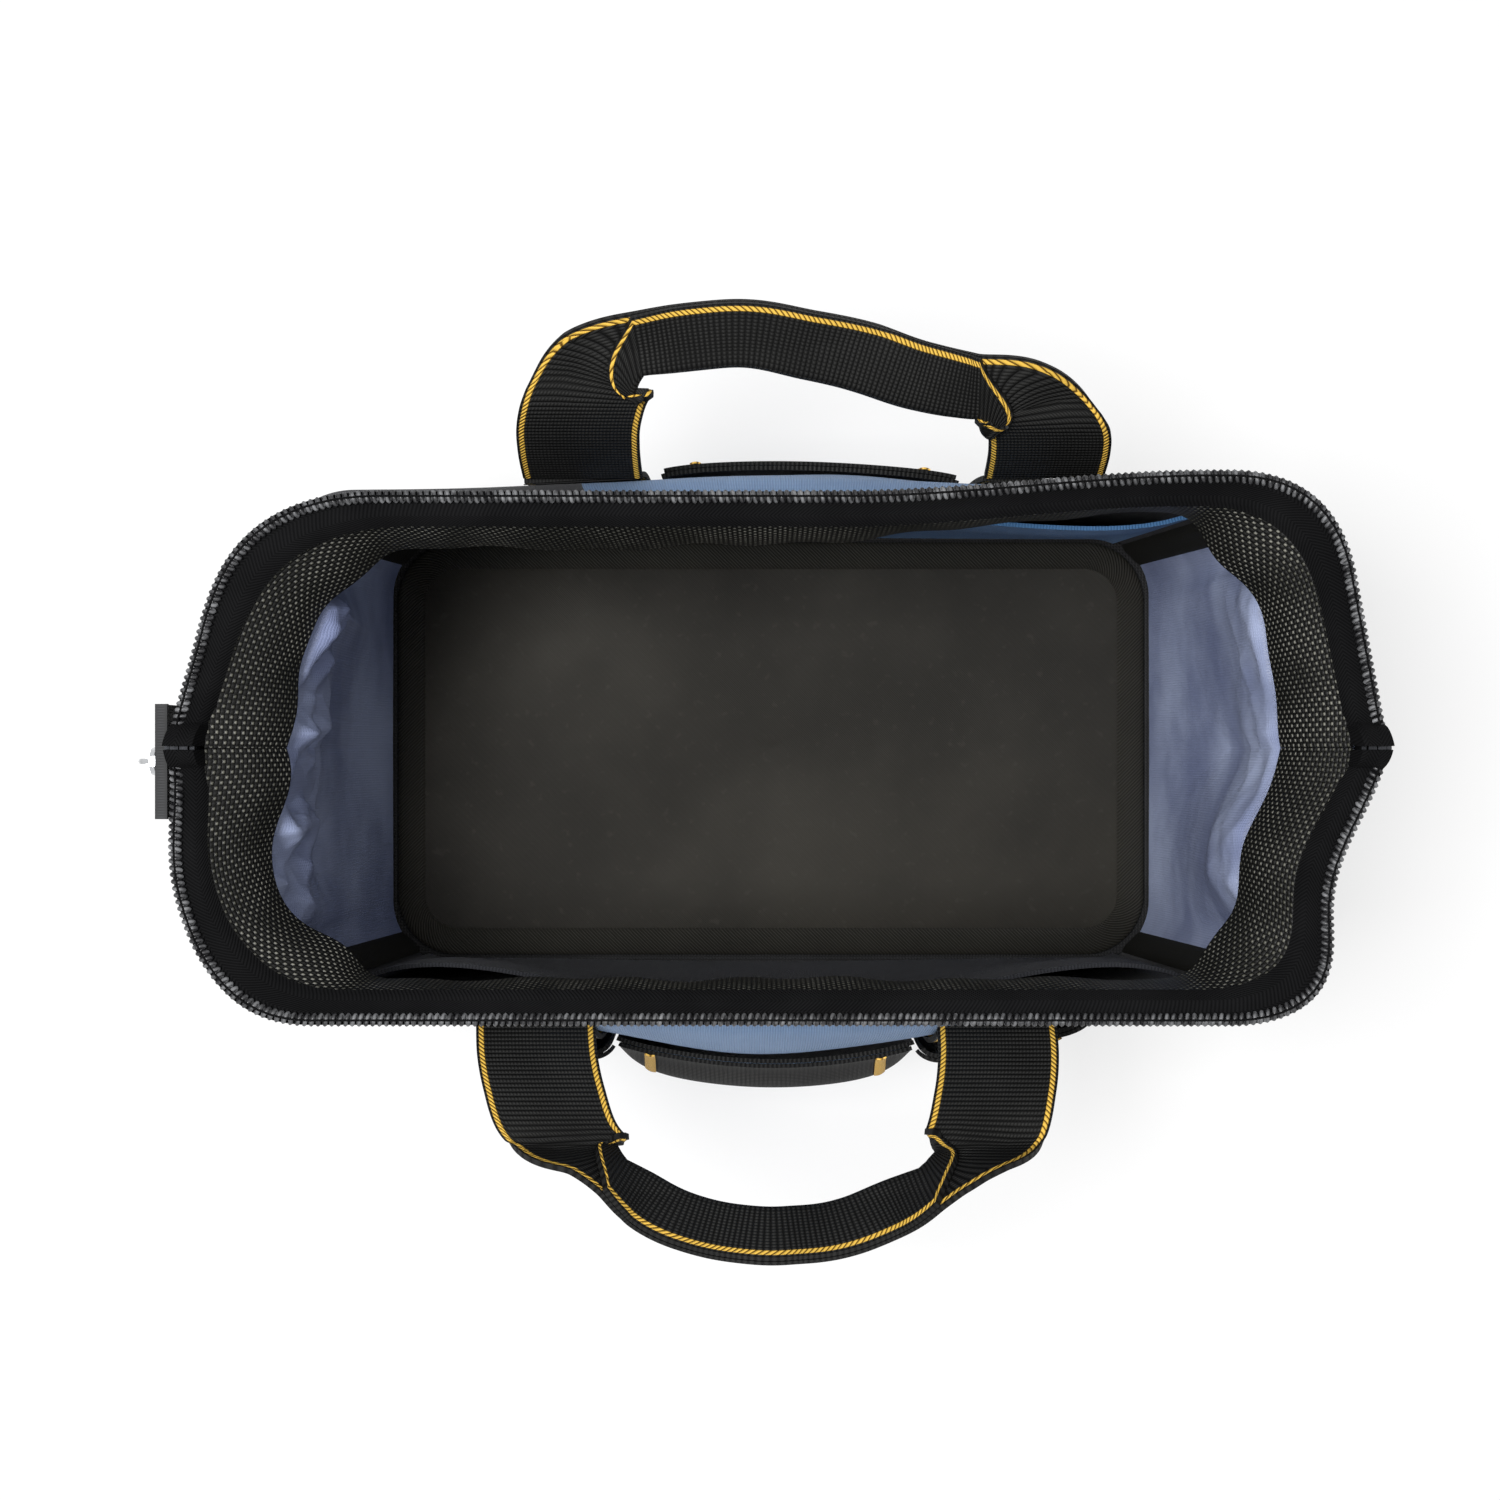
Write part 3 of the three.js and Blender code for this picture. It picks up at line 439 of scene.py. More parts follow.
def tube(name, path, radius, material):
    """A round profile carried along a path: circle points on two axes square to the path's slope, closed
    by one flat face at each end."""
    slope = unit(np.gradient(path, axis=0))
    side = unit(np.cross(slope, np.array([0.0, 0.0, 1.0])))
    up = np.cross(side, slope)
    angle = np.linspace(0, 2 * np.pi, TUBE_SIDES, endpoint=False)
    ring = side[:, None] * np.cos(angle)[None, :, None] + up[:, None] * np.sin(angle)[None, :, None]
    points = path[:, None] + ring * radius
    number = np.arange(len(path) * TUBE_SIDES).reshape(len(path), TUBE_SIDES)
    after = np.roll(number, -1, axis=1)
    quads = np.stack([number[:-1], number[1:], after[1:], after[:-1]], axis=-1).reshape(-1, 4)
    faces = quads.tolist() + [number[0, ::-1].tolist(), number[-1].tolist()]
    cloth = stack(walked_along(path)[:, None], angle[None, :] * radius)
    return build_mesh(name, points, faces, cloth, [material], sharp=60)


def place(piece, body, node=None):
    """Hangs a piece from the body that carries it, and hides the node that it stands for."""
    if node:
        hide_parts(node)
    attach(piece, body)


# Finishes

def linear(code):
    """A colour written as a six-digit code, in the linear values that shaders take."""
    value = np.array([int(code[i:i + 2], 16) for i in (0, 2, 4)]) / 255.0
    low = value / 12.92
    high = ((value + 0.055) / 1.055) ** 2.4
    return (*np.where(value <= 0.04045, low, high).tolist(), 1.0)


class Finish:
    """A material whose nodes are added one call at a time."""

    def __init__(self, name, roughness=0.8, metallic=0.0, specular=0.5, sheen=0.0):
        self.material = bpy.data.materials.new(name)
        self.material.use_nodes = True
        self.tree = self.material.node_tree
        self.shader = self.tree.nodes["Principled BSDF"]
        self.shader.inputs["Roughness"].default_value = roughness
        self.shader.inputs["Metallic"].default_value = metallic
        self.shader.inputs["Specular IOR Level"].default_value = specular
        self.shader.inputs["Sheen Weight"].default_value = sheen

    def feed(self, socket, value):
        """Links another node's output to a socket, or sets a plain value there."""
        if isinstance(value, bpy.types.NodeSocket):
            self.tree.links.new(value, socket)
        else:
            socket.default_value = value

    def math(self, kind, a, b=0.0, c=0.0):
        """One Math node of the named kind."""
        node = self.tree.nodes.new("ShaderNodeMath")
        node.operation = kind
        for socket, value in zip(node.inputs, (a, b, c)):
            self.feed(socket, value)
        return node.outputs[0]

    def cloth_axes(self):
        """The piece's own cloth coordinates, in metres along and across it."""
        node = self.tree.nodes.new("ShaderNodeUVMap")
        node.uv_map = "cloth"
        parts = self.tree.nodes.new("ShaderNodeSeparateXYZ")
        self.tree.links.new(node.outputs["UV"], parts.inputs[0])
        return parts.outputs[0], parts.outputs[1]

    def object_axes(self):
        """The object's x, y and z."""
        node = self.tree.nodes.new("ShaderNodeTexCoord")
        parts = self.tree.nodes.new("ShaderNodeSeparateXYZ")
        self.tree.links.new(node.outputs["Object"], parts.inputs[0])
        return parts.outputs

    def noise(self, scale, detail=3.0, rough=0.55):
        """Cloudy noise on the object's own coordinates."""
        axes = self.tree.nodes.new("ShaderNodeTexCoord")
        node = self.tree.nodes.new("ShaderNodeTexNoise")
        node.inputs["Scale"].default_value = scale
        node.inputs["Detail"].default_value = detail
        node.inputs["Roughness"].default_value = rough
        self.tree.links.new(axes.outputs["Object"], node.inputs["Vector"])
        return node.outputs["Fac"]

    def wave(self, axis, pitch):
        """sin(pi * axis / pitch): one hump for each pitch along the axis."""
        return self.math("SINE", self.math("MULTIPLY", axis, np.pi / pitch))

    def hump(self, axis, pitch):
        """|sin|: one rounded rib for each pitch along the axis."""
        return self.math("ABSOLUTE", self.wave(axis, pitch))

    def beads(self, first, second, pitch):
        """Plain weave: the product of two sines, without its sign."""
        return self.math("ABSOLUTE", self.math("MULTIPLY", self.wave(first, pitch), self.wave(second, pitch)))

    def between(self, value, low, high):
        """The smooth step of value from low to high."""
        node = self.tree.nodes.new("ShaderNodeMapRange")
        node.interpolation_type = "SMOOTHSTEP"
        self.feed(node.inputs["Value"], value)
        node.inputs["From Min"].default_value = low
        node.inputs["From Max"].default_value = high
        return node.outputs[0]

    def patch(self, scale, low=0.3, high=0.7):
        """Patches from 0 to 1: the smooth step of cloudy noise."""
        return self.between(self.noise(scale), low, high)

    def blend(self, share, first, second):
        """The first colour where share is 0, the second where it is 1."""
        node = self.tree.nodes.new("ShaderNodeMix")
        node.data_type = "RGBA"
        self.feed(node.inputs["Factor"], share)
        self.feed(node.inputs["A"], first)
        self.feed(node.inputs["B"], second)
        return node.outputs["Result"]

    def colour(self, value):
        """Sets what gives the surface its colour."""
        self.feed(self.shader.inputs["Base Color"], value)

    def colour_between(self, share, dark, light):
        """Colours the surface from a dark code where share is 0 to a light one where it is 1."""
        self.colour(self.blend(share, linear(dark), linear(light)))

    def shaded_yarn(self, height, gain, patch, uneven, base, dark, light):
        """Colour that is painted lighter on raised threads, as light on their tops and shade between them,
        and lighter in patches of the cloth's own uneven tone: gain * height + uneven * patch + base.
        """
        patches = self.math("MULTIPLY_ADD", patch, uneven, base)
        self.colour_between(self.math("MULTIPLY_ADD", height, gain, patches), dark, light)

    def roughness(self, value, low, high):
        """Spreads a value from 0 to 1 over roughness from low to high."""
        node = self.tree.nodes.new("ShaderNodeMapRange")
        self.feed(node.inputs["Value"], value)
        node.inputs["To Min"].default_value = low
        node.inputs["To Max"].default_value = high
        self.tree.links.new(node.outputs[0], self.shader.inputs["Roughness"])

    def bump(self, height, depth, strength=1.0):
        """Raises the surface by a height from 0 to 1, times a depth in metres."""
        node = self.tree.nodes.new("ShaderNodeBump")
        node.inputs["Strength"].default_value = strength
        node.inputs["Distance"].default_value = depth
        self.feed(node.inputs["Height"], height)
        self.tree.links.new(node.outputs["Normal"], self.shader.inputs["Normal"])


def woven(name, dark, light, pitch, depth, roughness, sheen=0.0):
    """Plain weave: a bead in every cell of a checker, painted lighter on its crown and darker between beads
    as light and shade, over patches of the cloth's own uneven tone.
    """
    finish = Finish(name, roughness, specular=0.2, sheen=sheen)
    bead = finish.beads(*finish.cloth_axes(), pitch)
    finish.shaded_yarn(bead, 0.5, finish.patch(40.0), 0.2, 0.15, dark, light)
    finish.bump(bead, depth)
    return finish.material


def twill(name, dark, light, pitch, depth, roughness, sheen=0.0):
    """Twill: slanted humps along u + v, painted lighter on their tops and darker between them as light and
    shade, over patches of the cloth's own uneven tone.
    """
    finish = Finish(name, roughness, specular=0.2, sheen=sheen)
    u, v = finish.cloth_axes()
    hump = finish.hump(finish.math("ADD", u, v), pitch)
    finish.shaded_yarn(hump, 0.45, finish.patch(30.0), 0.2, 0.17, dark, light)
    finish.bump(hump, depth)
    return finish.material


def sleeve_webbing():
    """Coarse webbing: beads on every other cell of a checker, shiny, painted pale on their crowns as glints
    and near black in the gaps between them as shade.
    """
    finish = Finish("sleeve_webbing", 0.42, specular=0.22)
    u, v = finish.cloth_axes()
    over = finish.math("MULTIPLY", finish.wave(u, SLEEVE_BEAD_LENGTH), finish.wave(v, SLEEVE_BEAD_WIDTH))
    bead = finish.math("MAXIMUM", over, 0.0)
    under = finish.math("MULTIPLY", finish.math("MAXIMUM", finish.math("MULTIPLY", over, -1.0), 0.0), 0.35)
    height = finish.math("MAXIMUM", bead, under)
    # Painted glints: the bead crowns pale, in patches of uneven tone; painted shade: the gaps near black
    crown = finish.between(height, 0.25, 0.95)
    tint = finish.blend(finish.patch(55.0, 0.35), linear("46463e"), linear("838279"))
    finish.colour(finish.blend(crown, linear("0b0b0a"), tint))
    finish.bump(height, 0.0005)
    return finish.material


def handle_webbing(name, gold_edges=True):
    """Ribbed webbing: a rib across it at every pitch, and two rows of gold chain stitch along its edges; ribs
    and stitches are painted light on top and dark between, as light and shade.

    The cloth's v runs from minus to plus half the webbing's width.
    """
    finish = Finish(name, 0.62, specular=0.13)
    u, v = finish.cloth_axes()
    rib = finish.hump(u, RIB_PITCH)
    cord = finish.hump(v, CORD_PITCH)
    height = finish.math("MULTIPLY", rib, finish.math("MULTIPLY_ADD", cord, 0.5, 0.5))
    patches = finish.math("MULTIPLY_ADD", finish.patch(35.0, high=0.75), 0.6, 0.4)
    # The ribs' tops painted lighter and the gaps darker, as light and shade, in patches of uneven tone
    share = finish.math("MULTIPLY", finish.between(height, 0.2, 1.0), patches)
    cloth = finish.blend(share, linear("080808"), linear("292928"))
    if not gold_edges:
        finish.colour(cloth)
        finish.bump(height, 0.0004)
        return finish.material
    off = finish.math("ABSOLUTE", v)
    outer, inner = WEBBING / 2 - GOLD_END, WEBBING / 2 - GOLD_EDGE
    begin = finish.between(off, inner, inner + GOLD_FADE)
    end = finish.between(off, outer, outer + GOLD_FADE)
    edge = finish.math("MULTIPLY", begin, finish.math("SUBTRACT", 1.0, end))
    slant = finish.math("MULTIPLY_ADD", off, CHAIN_SLANT, u)
    stitch = finish.hump(slant, CHAIN_PITCH)
    # Each gold stitch painted bright on top and dark gold between stitches, as light and shade
    gold = finish.blend(finish.between(stitch, 0.15, 0.75), linear("5f4312"), linear("dcb24c"))
    finish.colour(finish.blend(edge, cloth, gold))
    tall = finish.math("MULTIPLY", edge, finish.math("MULTIPLY_ADD", stitch, 0.8, 0.6))
    finish.bump(finish.math("MAXIMUM", height, tall), 0.0005)
    return finish.material


def zip_tape():
    """Herringbone tape: slanted ribs that change their slant at every width across the tape, painted lighter
    on their tops and darker between them as light and shade, over patches of uneven tone.
    """
    finish = Finish("zip_tape", 0.85, specular=0.06)
    u, v = finish.cloth_axes()
    fold = finish.math("PINGPONG", v, HERRINGBONE_WIDTH)
    hump = finish.hump(finish.math("ADD", u, fold), HERRINGBONE_PITCH)
    finish.shaded_yarn(hump, 0.5, finish.patch(45.0, high=0.75), 0.4, 0.0, "050506", "151516")
    finish.bump(hump, 0.0003)
    return finish.material


def coated_lining():
    """Coated lining: a smooth satin face with a faint weave and tiny wrinkles that catch the light."""
    finish = Finish("coated_lining", 0.42, specular=0.6)
    bead = finish.beads(*finish.cloth_axes(), LINING_PITCH)
    wrinkle = finish.noise(120.0, 4.0, 0.6)
    finish.colour_between(finish.patch(18.0), "7f89ad", "b4bfde")
    finish.roughness(wrinkle, 0.3, 0.55)
    finish.bump(finish.math("MULTIPLY_ADD", bead, 0.25, wrinkle), 0.0006, 0.6)
    return finish.material


def floor_cover():
    """Coated board cover: charcoal, fine twill painted lighter on its ridges and darker between them as light
    and shade, and broad cloudy patches painted lighter as a soft highlight, glossier there.
    """
    finish = Finish("floor_cover", 0.5, specular=0.2)
    u, v = finish.cloth_axes()
    hump = finish.hump(finish.math("ADD", u, v), FLOOR_PITCH)
    # Broad cloudy patches painted lighter as a soft highlight on the floor, and made glossier there
    painted_highlight = finish.between(finish.noise(9.0, 4.0), 0.35, 0.75)
    fleck = finish.between(finish.noise(260.0, 2.0), 0.6, 0.75)
    # Colour: the painted highlight patches and the twill's ridges painted lighter as light, over a dark base
    share = finish.math("MULTIPLY_ADD", painted_highlight, 0.42, finish.math("MULTIPLY_ADD", hump, 0.25, 0.1))
    base = finish.blend(share, linear("161513"), linear("38352e"))
    finish.colour(finish.blend(finish.math("MULTIPLY", fleck, 0.12), base, linear("59574f")))
    finish.roughness(painted_highlight, 0.62, 0.42)
    finish.bump(finish.math("MULTIPLY_ADD", hump, 0.4, finish.noise(70.0)), 0.0003)
    return finish.material


def metal(name, tint, rough, worn="d9dadb"):
    """Plated metal: patchy wear in its colour, and fine scuffs in its roughness and bump."""
    finish = Finish(name, rough, metallic=1.0)
    speckle = finish.noise(400.0, 2.0)
    finish.colour_between(finish.patch(60.0), tint, worn)
    finish.roughness(speckle, rough * 0.7, rough * 1.4)
    finish.bump(speckle, 0.00005)
    return finish.material


def coil_plastic():
    """Moulded coil: near black, glossy, greyer in small random patches that are painted glints on the turns.
    """
    finish = Finish("zip_coil", 0.4, specular=0.45)
    # Small random patches painted grey as glints on the turns, and made rougher there
    speckle = finish.patch(220.0, 0.4)
    finish.colour_between(speckle, "222224", "6e6f71")
    finish.roughness(speckle, 0.34, 0.5)
    finish.bump(finish.noise(900.0), 0.00004)
    return finish.material


def gold_thread():
    """Bar tacks: close zigzag stitches of gold thread, painted bright on top and dark between them as light
    and shade.
    """
    finish = Finish("gold_thread", 0.55)
    u, v = finish.cloth_axes()
    stitch = finish.hump(finish.math("MULTIPLY_ADD", u, TACK_SLANT, v), TACK_PITCH)
    # Stitches painted bright on top and dark between them, as light and shade
    finish.colour_between(finish.between(stitch, 0.1, 0.8), "6e4d14", "e3b448")
    finish.bump(stitch, 0.0004)
    return finish.material


def solid_weave(name, dark, light, pitch, depth, first, second):
    """A weave for solids with no cloth coordinates: beads on two of the object's own axes, painted lighter on
    their crowns and darker between them as light and shade, over patches of uneven tone.
    """
    finish = Finish(name, 0.75)
    axes = finish.object_axes()
    bead = finish.beads(axes[first], axes[second], pitch)
    finish.shaded_yarn(bead, 0.5, finish.patch(45.0), 0.4, 0.0, dark, light)
    finish.bump(bead, depth)
    return finish.material


BLUE = woven("blue_cloth", "4a678d", "7c98bc", 0.0008, 0.0002, 0.68, 0.1)
PANEL = twill("panel_blue", "33608e", "5b8abb", 0.0010, 0.0002, 0.7, 0.1)
GREY = twill("grey_twill", "1a1b1e", "3a3b40", 0.0011, 0.0002, 0.8, 0.1)
BLACK = woven("black_cloth", "0b0b0c", "222224", 0.0009, 0.0002, 0.75)
LINING = coated_lining()
SLEEVE = sleeve_webbing()
WEBBED = handle_webbing("handle_webbing")
PLAIN_WEBBED = handle_webbing("hem_webbing", False)
TAPE = zip_tape()
BINDING = twill("binding_tape", "0c0c0a", "262520", 0.0014, 0.0003, 0.7)
FLOOR_EDGE = twill("floor_edge_tape", "12110f", "2f2d27", 0.0014, 0.0003, 0.6)
FLOOR = floor_cover()
COIL = coil_plastic()
STEEL = metal("frame_steel", "1d1e20", 0.45, "3a3b3e")
PLATED = metal("slider_metal", "b4b6b9", 0.24)
THREAD = gold_thread()
BLACK_SOLID = solid_weave("base_cloth", "0b0b0c", "242426", 0.0012, 0.0003, 0, 1)
TAIL = solid_weave("tail_tape", "101011", "343537", 0.0008, 0.0001, 1, 2)


# The rim's outline

def rim_outline(side, inset, gap):
    """Dense points of the rim from its left pivot to its right one: arms, corners and the long side."""
    half_x = RIM_HALF_LENGTH - inset
    half_y = RIM_HALF_WIDTH - inset
    pivot = RIM_PIVOT - inset
    arm = np.hypot(pivot - half_x, half_y)
    left, right = RIM_CORNERS[side]
    t = np.linspace(0, 1, 80)[:, None]

    def arm_point(back):
        """A point on the straight arm, a share of its length back from the corner."""
        return np.array([lerp(half_x, pivot, back), lerp(half_y, 0, back)])

    def corner(sign, size):
        """A quadratic curve that cuts the corner, size back from it along both straights."""
        a = arm_point(size / arm) * (sign, 1)
        b = np.array([half_x * sign, half_y])
        c = np.array([(half_x - size) * sign, half_y])
        return a * (1 - t) ** 2 + b * 2 * t * (1 - t) + c * t * t

    end = np.array([lerp(pivot, half_x, gap / half_y), gap])
    points = np.concatenate([(end * (-1, 1))[None], corner(-1, left), corner(1, right)[::-1], end[None]])
    return points * (1, side)


def walk(points, share):
    """Points at the given shares of a polyline's length."""
    walked = walked_along(points)
    at = np.asarray(share) * walked[-1]
    return np.stack([np.interp(at, walked, points[:, k]) for k in range(points.shape[1])], axis=-1)


def settling(side, p):
    """How the soft rim has settled: its arms bow by sin^2, and its rear side is drawn in."""
    along = np.clip(np.abs(p[..., 1]) / RIM_HALF_WIDTH, 0, 1)
    left, right = ARM_BOWS[side]
    bow = np.where(p[..., 0] < 0, left, right) * np.sin(np.pi * along) ** 2
    drawn = REAR_DRAW_IN * (1 - smooth((p[..., 0] - DRAW_IN_START) / DRAW_IN_RUN)) * smooth(along)
    return np.stack([np.sign(p[..., 0]) * bow, -drawn if side > 0 else 0 * drawn], axis=-1)


def rim(side, inset, share, gap=RIM_GAP):
    """The settled rim at shares of its length: an outline some way in, moved as the outer one settles."""
    outer = walk(rim_outline(side, 0, gap), share)
    return walk(rim_outline(side, inset, gap), share) + settling(side, outer)


def rim_reach(angle):
    """How far the rim reaches from the middle of the mouth in a direction."""
    share = np.linspace(0, 1, 300)
    ring = np.concatenate([rim(-1, 0, share), rim(1, 0, share[::-1])])
    x, y = ring[:, 0], ring[:, 1]
    return np.interp(angle, np.arctan2(y, x), np.hypot(x, y), period=2 * np.pi)


# The walls

def half_length(z):
    """Half the tub's length at a height: straight from base to mouth."""
    return lerp(BASE_LENGTH, MOUTH_LENGTH, z / RIM_Z) / 2


def half_width(z):
    """Half the tub's width at a height: straight from base to mouth."""
    return lerp(BASE_WIDTH, MOUTH_WIDTH, z / RIM_Z) / 2


def swell(amount, along, z):
    """Outward swell: a squared cosine across the wall times a sine up it."""
    up = np.clip(z / WALL_SWELL_TOP, 0, 1)
    return amount * np.cos(np.pi / 2 * along) ** 2 * np.sin(np.pi * up ** WALL_SWELL_RISE)


def tucked(points, offset):
    """Near its top a wall leaves its own plan and tucks in under the rim, along rays from the middle."""
    x, y, z = points[..., 0], points[..., 1], points[..., 2]
    share = smooth((z - TUCK_START) / (TUCK_END - TUCK_START))
    target = rim_reach(np.arctan2(y, x)) - TUCK_INSET + offset * TUCK_SPREAD
    scale = lerp(1.0, target / np.hypot(x, y), share)
    return stack(x * scale, y * scale, z)


def wall_bend(along, straight, radius):
    """A wall's plan walked from its middle: flat, then an eighth of a circle at each corner."""
    walked = np.abs(along) * (straight + CORNER * np.pi / 4)
    flat = np.minimum(walked, straight)
    turn = np.maximum(0, walked - straight) / CORNER
    return flat, flat + radius * np.sin(turn), radius * np.cos(turn) - CORNER


def long_wall(side, along, z, offset=0.0):
    """A long wall from corner to corner, along from -1 to 1: the tub's half width plus its swell."""
    straight = half_length(z) - CORNER
    flat, reach, back = wall_bend(along, straight, CORNER + offset)
    y = half_width(z) + back + swell(BULGE[side], np.clip(flat / straight, 0, 1), z)
    return tucked(stack(np.sign(along) * reach, side * y, z), offset)


def end_wall(side, along, z, offset=0.0):
    """An end wall from corner to corner: half the length, its swell, and a peak that rises to the pivot."""
    straight = half_width(z) - CORNER
    flat, reach, back = wall_bend(along, straight, CORNER + offset)
    peak = RIM_PIVOT - PEAK_SHORT - MOUTH_LENGTH / 2
    rise = smooth((z - PEAK_START) / (TUCK_END - PEAK_START))
    point = peak * rise * np.maximum(0, 1 - reach / (half_width(z) - CORNER / 2))
    x = half_length(z) + back + swell(END_BULGE, np.clip(flat / straight, 0, 1), z) + point
    return tucked(stack(side * x, np.sign(along) * reach, z), offset)


def long_wall_y(side, x, z):
    """Where the flat part of a long wall stands, below its tuck."""
    straight = half_length(z) - CORNER
    return side * (half_width(z) + swell(BULGE[side], np.clip(np.abs(x) / straight, 0, 1), z))


def follow_frame(piece, node):
    """Places wall cloth: hides the node that it stands for and bakes the piece's placement into its points.
    """
    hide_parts(node)
    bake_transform(piece)


def wall_heights(rows, foot=WALL_FOOT, top=WALL_TOP):
    """Heights from foot to top, close together over the band that turns with the frame."""
    below = np.linspace(foot, TURN_START, rows, endpoint=False)
    turning = np.linspace(TURN_START, TURN_END, TURN_ROWS, endpoint=False)
    return np.concatenate([below, turning, np.linspace(TURN_END, top, 4)])


def turning_cloth(points):
    """Cloth coordinates for a wall. Over the band that turns with the frame they gain the arc that the band
    spreads to when the frame is shut: the shut angle times the distance from the pivots' axis."""
    u, v = lengths_of(points)
    y, z = points[..., 1], points[..., 2]
    arc = SHUT_ANGLE * np.hypot(y, RIM_Z - z) * smooth((z - TURN_START) / (TURN_END - TURN_START))
    return np.stack([u, v + arc], axis=-1)


def make_long_wall(side, name, node):
    """One long wall, with soft ripples that fade at its edges; blue between the straps and grey beyond."""
    along = np.linspace(-SEAM_SHARE, SEAM_SHARE, 181)[:, None] * (1 if side < 0 else -1)
    z = wall_heights(76)[None, :]
    points = long_wall(side, along, z + 0 * along)
    fade = np.clip((1 - np.abs(along)) * 6, 0, 1) * smooth(z / RIPPLE_FOOT)
    fade = fade * (1 - smooth((z - RIPPLE_TOP) / RIPPLE_RUN))
    soft = WALL_RIPPLE * ripples(points[..., 0], points[..., 2], 11 + side, 7, (0.05, 0.16))
    points = points + normals_of(points) * (soft * fade)[..., None]
    at_root = np.argmin(np.abs(z[0] - HANDLE_ROOT))
    middle = 0.5 * (points[:-1, at_root, 0] + points[1:, at_root, 0])[:, None]
    beyond = np.abs(middle - SHIFT[side]) + 0 * z[:, 1:] > HANDLE_SPACING / 2
    cloth = turning_cloth(points)
    piece = shell(name, points, WALL_THICK, [BLUE, GREY], cloth, beyond.astype(np.int32), 1)
    follow_frame(piece, node)


def end_folds(end, y, z):
    """How far an end's lining crumples inwards: a shelf under the sleeve with sharp creases across it."""
    across = 1 - smooth((np.abs(y) - CRUMPLE_HALF_WIDTH) / CRUMPLE_FADE)
    shelf = smooth((z - SHELF_START) / SHELF_RISE) * (1 - smooth((z - SHELF_END) / SHELF_DROP))
    folds = ridges(y, 0.45 * z, 5, 4, (0.020, 0.046)) + 0.4 * ridges(y, z, 9, 6, (0.010, 0.026))
    return across * shelf * np.maximum(0.0, CRUMPLE_DEPTH[end] + CRUMPLE_CREASE[end] * folds)


def hanging_lining(end, side, points):
    """An end's lining: it lies on the wall at its foot, and rises to hang from behind the sleeve's foot."""
    y, z = points[..., 1], points[..., 2]
    wall = np.abs(points[..., 0]) - LINING_GAP
    behind = sleeve_foot_reach(end, side, y) + BAND_THICK / 2 + LINING_BEHIND
    across = 1 - smooth((np.abs(y) - HANG_HALF_WIDTH) / HANG_FADE)
    share = across * smooth((z - HANG_START) / HANG_RISE)
    x = lerp(wall, np.minimum(wall, behind), share) - end_folds(end, y, z)
    return stack(end * x, y, z)


def make_end_walls():
    """Each end's cloth and lining in a front and a rear half, split where the two mouth frames meet."""
    for column, end in ENDS:
        for row, side in SIDES:
            share = np.linspace(0.0, SEAM_SHARE, 101)[:, None]
            if end * side < 0:
                share = share[::-1]
            z = wall_heights(50)[None, :]
            points = end_wall(end, side * share, z + 0 * share)
            piece = shell(f"{column}_end_{row}_cloth", points, WALL_THICK, [GREY], turning_cloth(points))
            follow_frame(piece, f"{column}_end_wall")
            z = wall_heights(110, LINING_FOOT, LINING_TOP)[None, :]
            points = hanging_lining(end, side, end_wall(end, side * share, z + 0 * share))
            cloth = turning_cloth(points)
            piece = shell(f"{column}_end_{row}_lining", points, LINING_THICK, [LINING], cloth)
            follow_frame(piece, f"{column}_end_wall")


def make_gusset_pleats():
    """The end's spare cloth below each pivot, hidden at rest between cloth and lining. It stays with the
    bag and closes the gap where the two halves part: on the wall below the rim, and on the rim above."""
    for column, end in ENDS:
        u, v = grid(40, 30)
        y = lerp(-PLEAT_HALF_WIDTH, PLEAT_HALF_WIDTH, u) * end
        z = lerp(PLEAT_FOOT, PLEAT_TOP, v)
        share = np.linspace(0, 1, 500)
        band = np.concatenate([rim(-1, PLEAT_INSET, share), rim(1, PLEAT_INSET, share)])
        band = band[band[:, 0] * end > RIM_HALF_LENGTH - PLEAT_RIM_PART]
        band = band[np.argsort(band[:, 1])]
        on_rim = np.interp(y, band[:, 1], np.abs(band[:, 0]))
        wall = end_wall(1, y / PLEAT_REACH, np.minimum(z, TUCK_END))
        on_wall = np.abs(wall[..., 0]) - PLEAT_OFF
        x = lerp(on_wall, on_rim, smooth((z - PLEAT_TURN) / PLEAT_TURN_RUN))
        piece = shell(f"{column}_gusset_pleat", stack(end * x, y, z), PLEAT_THICK, [GREY, LINING])
        place(piece, "bag")


def make_seam_bindings():
    """Tape folded over each corner seam: a low arch across the seam, carried up the corner."""
    for row, side in SIDES:
        for column, end in ENDS:
            heights = wall_heights(70, BINDING_FOOT, BINDING_TOP)
            u, z = np.meshgrid(np.linspace(0, 1, 19), heights, indexing="ij")
            across = (2 * u - 1) * (1 if side * end > 0 else -1)
            arc = CORNER * np.pi / 4
            inset = -BINDING_ARCH * (2 - across ** 4)
            reach = BINDING_WIDTH / 2 * np.abs(across)
            on_long = long_wall(side, end * (1 - reach / (half_length(z) - CORNER + arc)), z, inset)
            on_end = end_wall(end, side * (1 - reach / (half_width(z) - CORNER + arc)), z, inset)
            points = np.where((across < 0)[..., None], on_long, on_end)
            piece = shell(f"{row}_{column}_binding_tape", points, BINDING_THICK, [BINDING])
            follow_frame(piece, f"{row}_{column}_seam_binding")


# The floor

def rounded_plan(half_x, half_y, radius, angle):
    """A rectangle with round corners, walked by angle: the corner's centre plus a turning radius."""
    c, s = np.cos(angle), np.sin(angle)
    return stack(np.sign(c) * (half_x - radius) + radius * c, np.sign(s) * (half_y - radius) + radius * s)


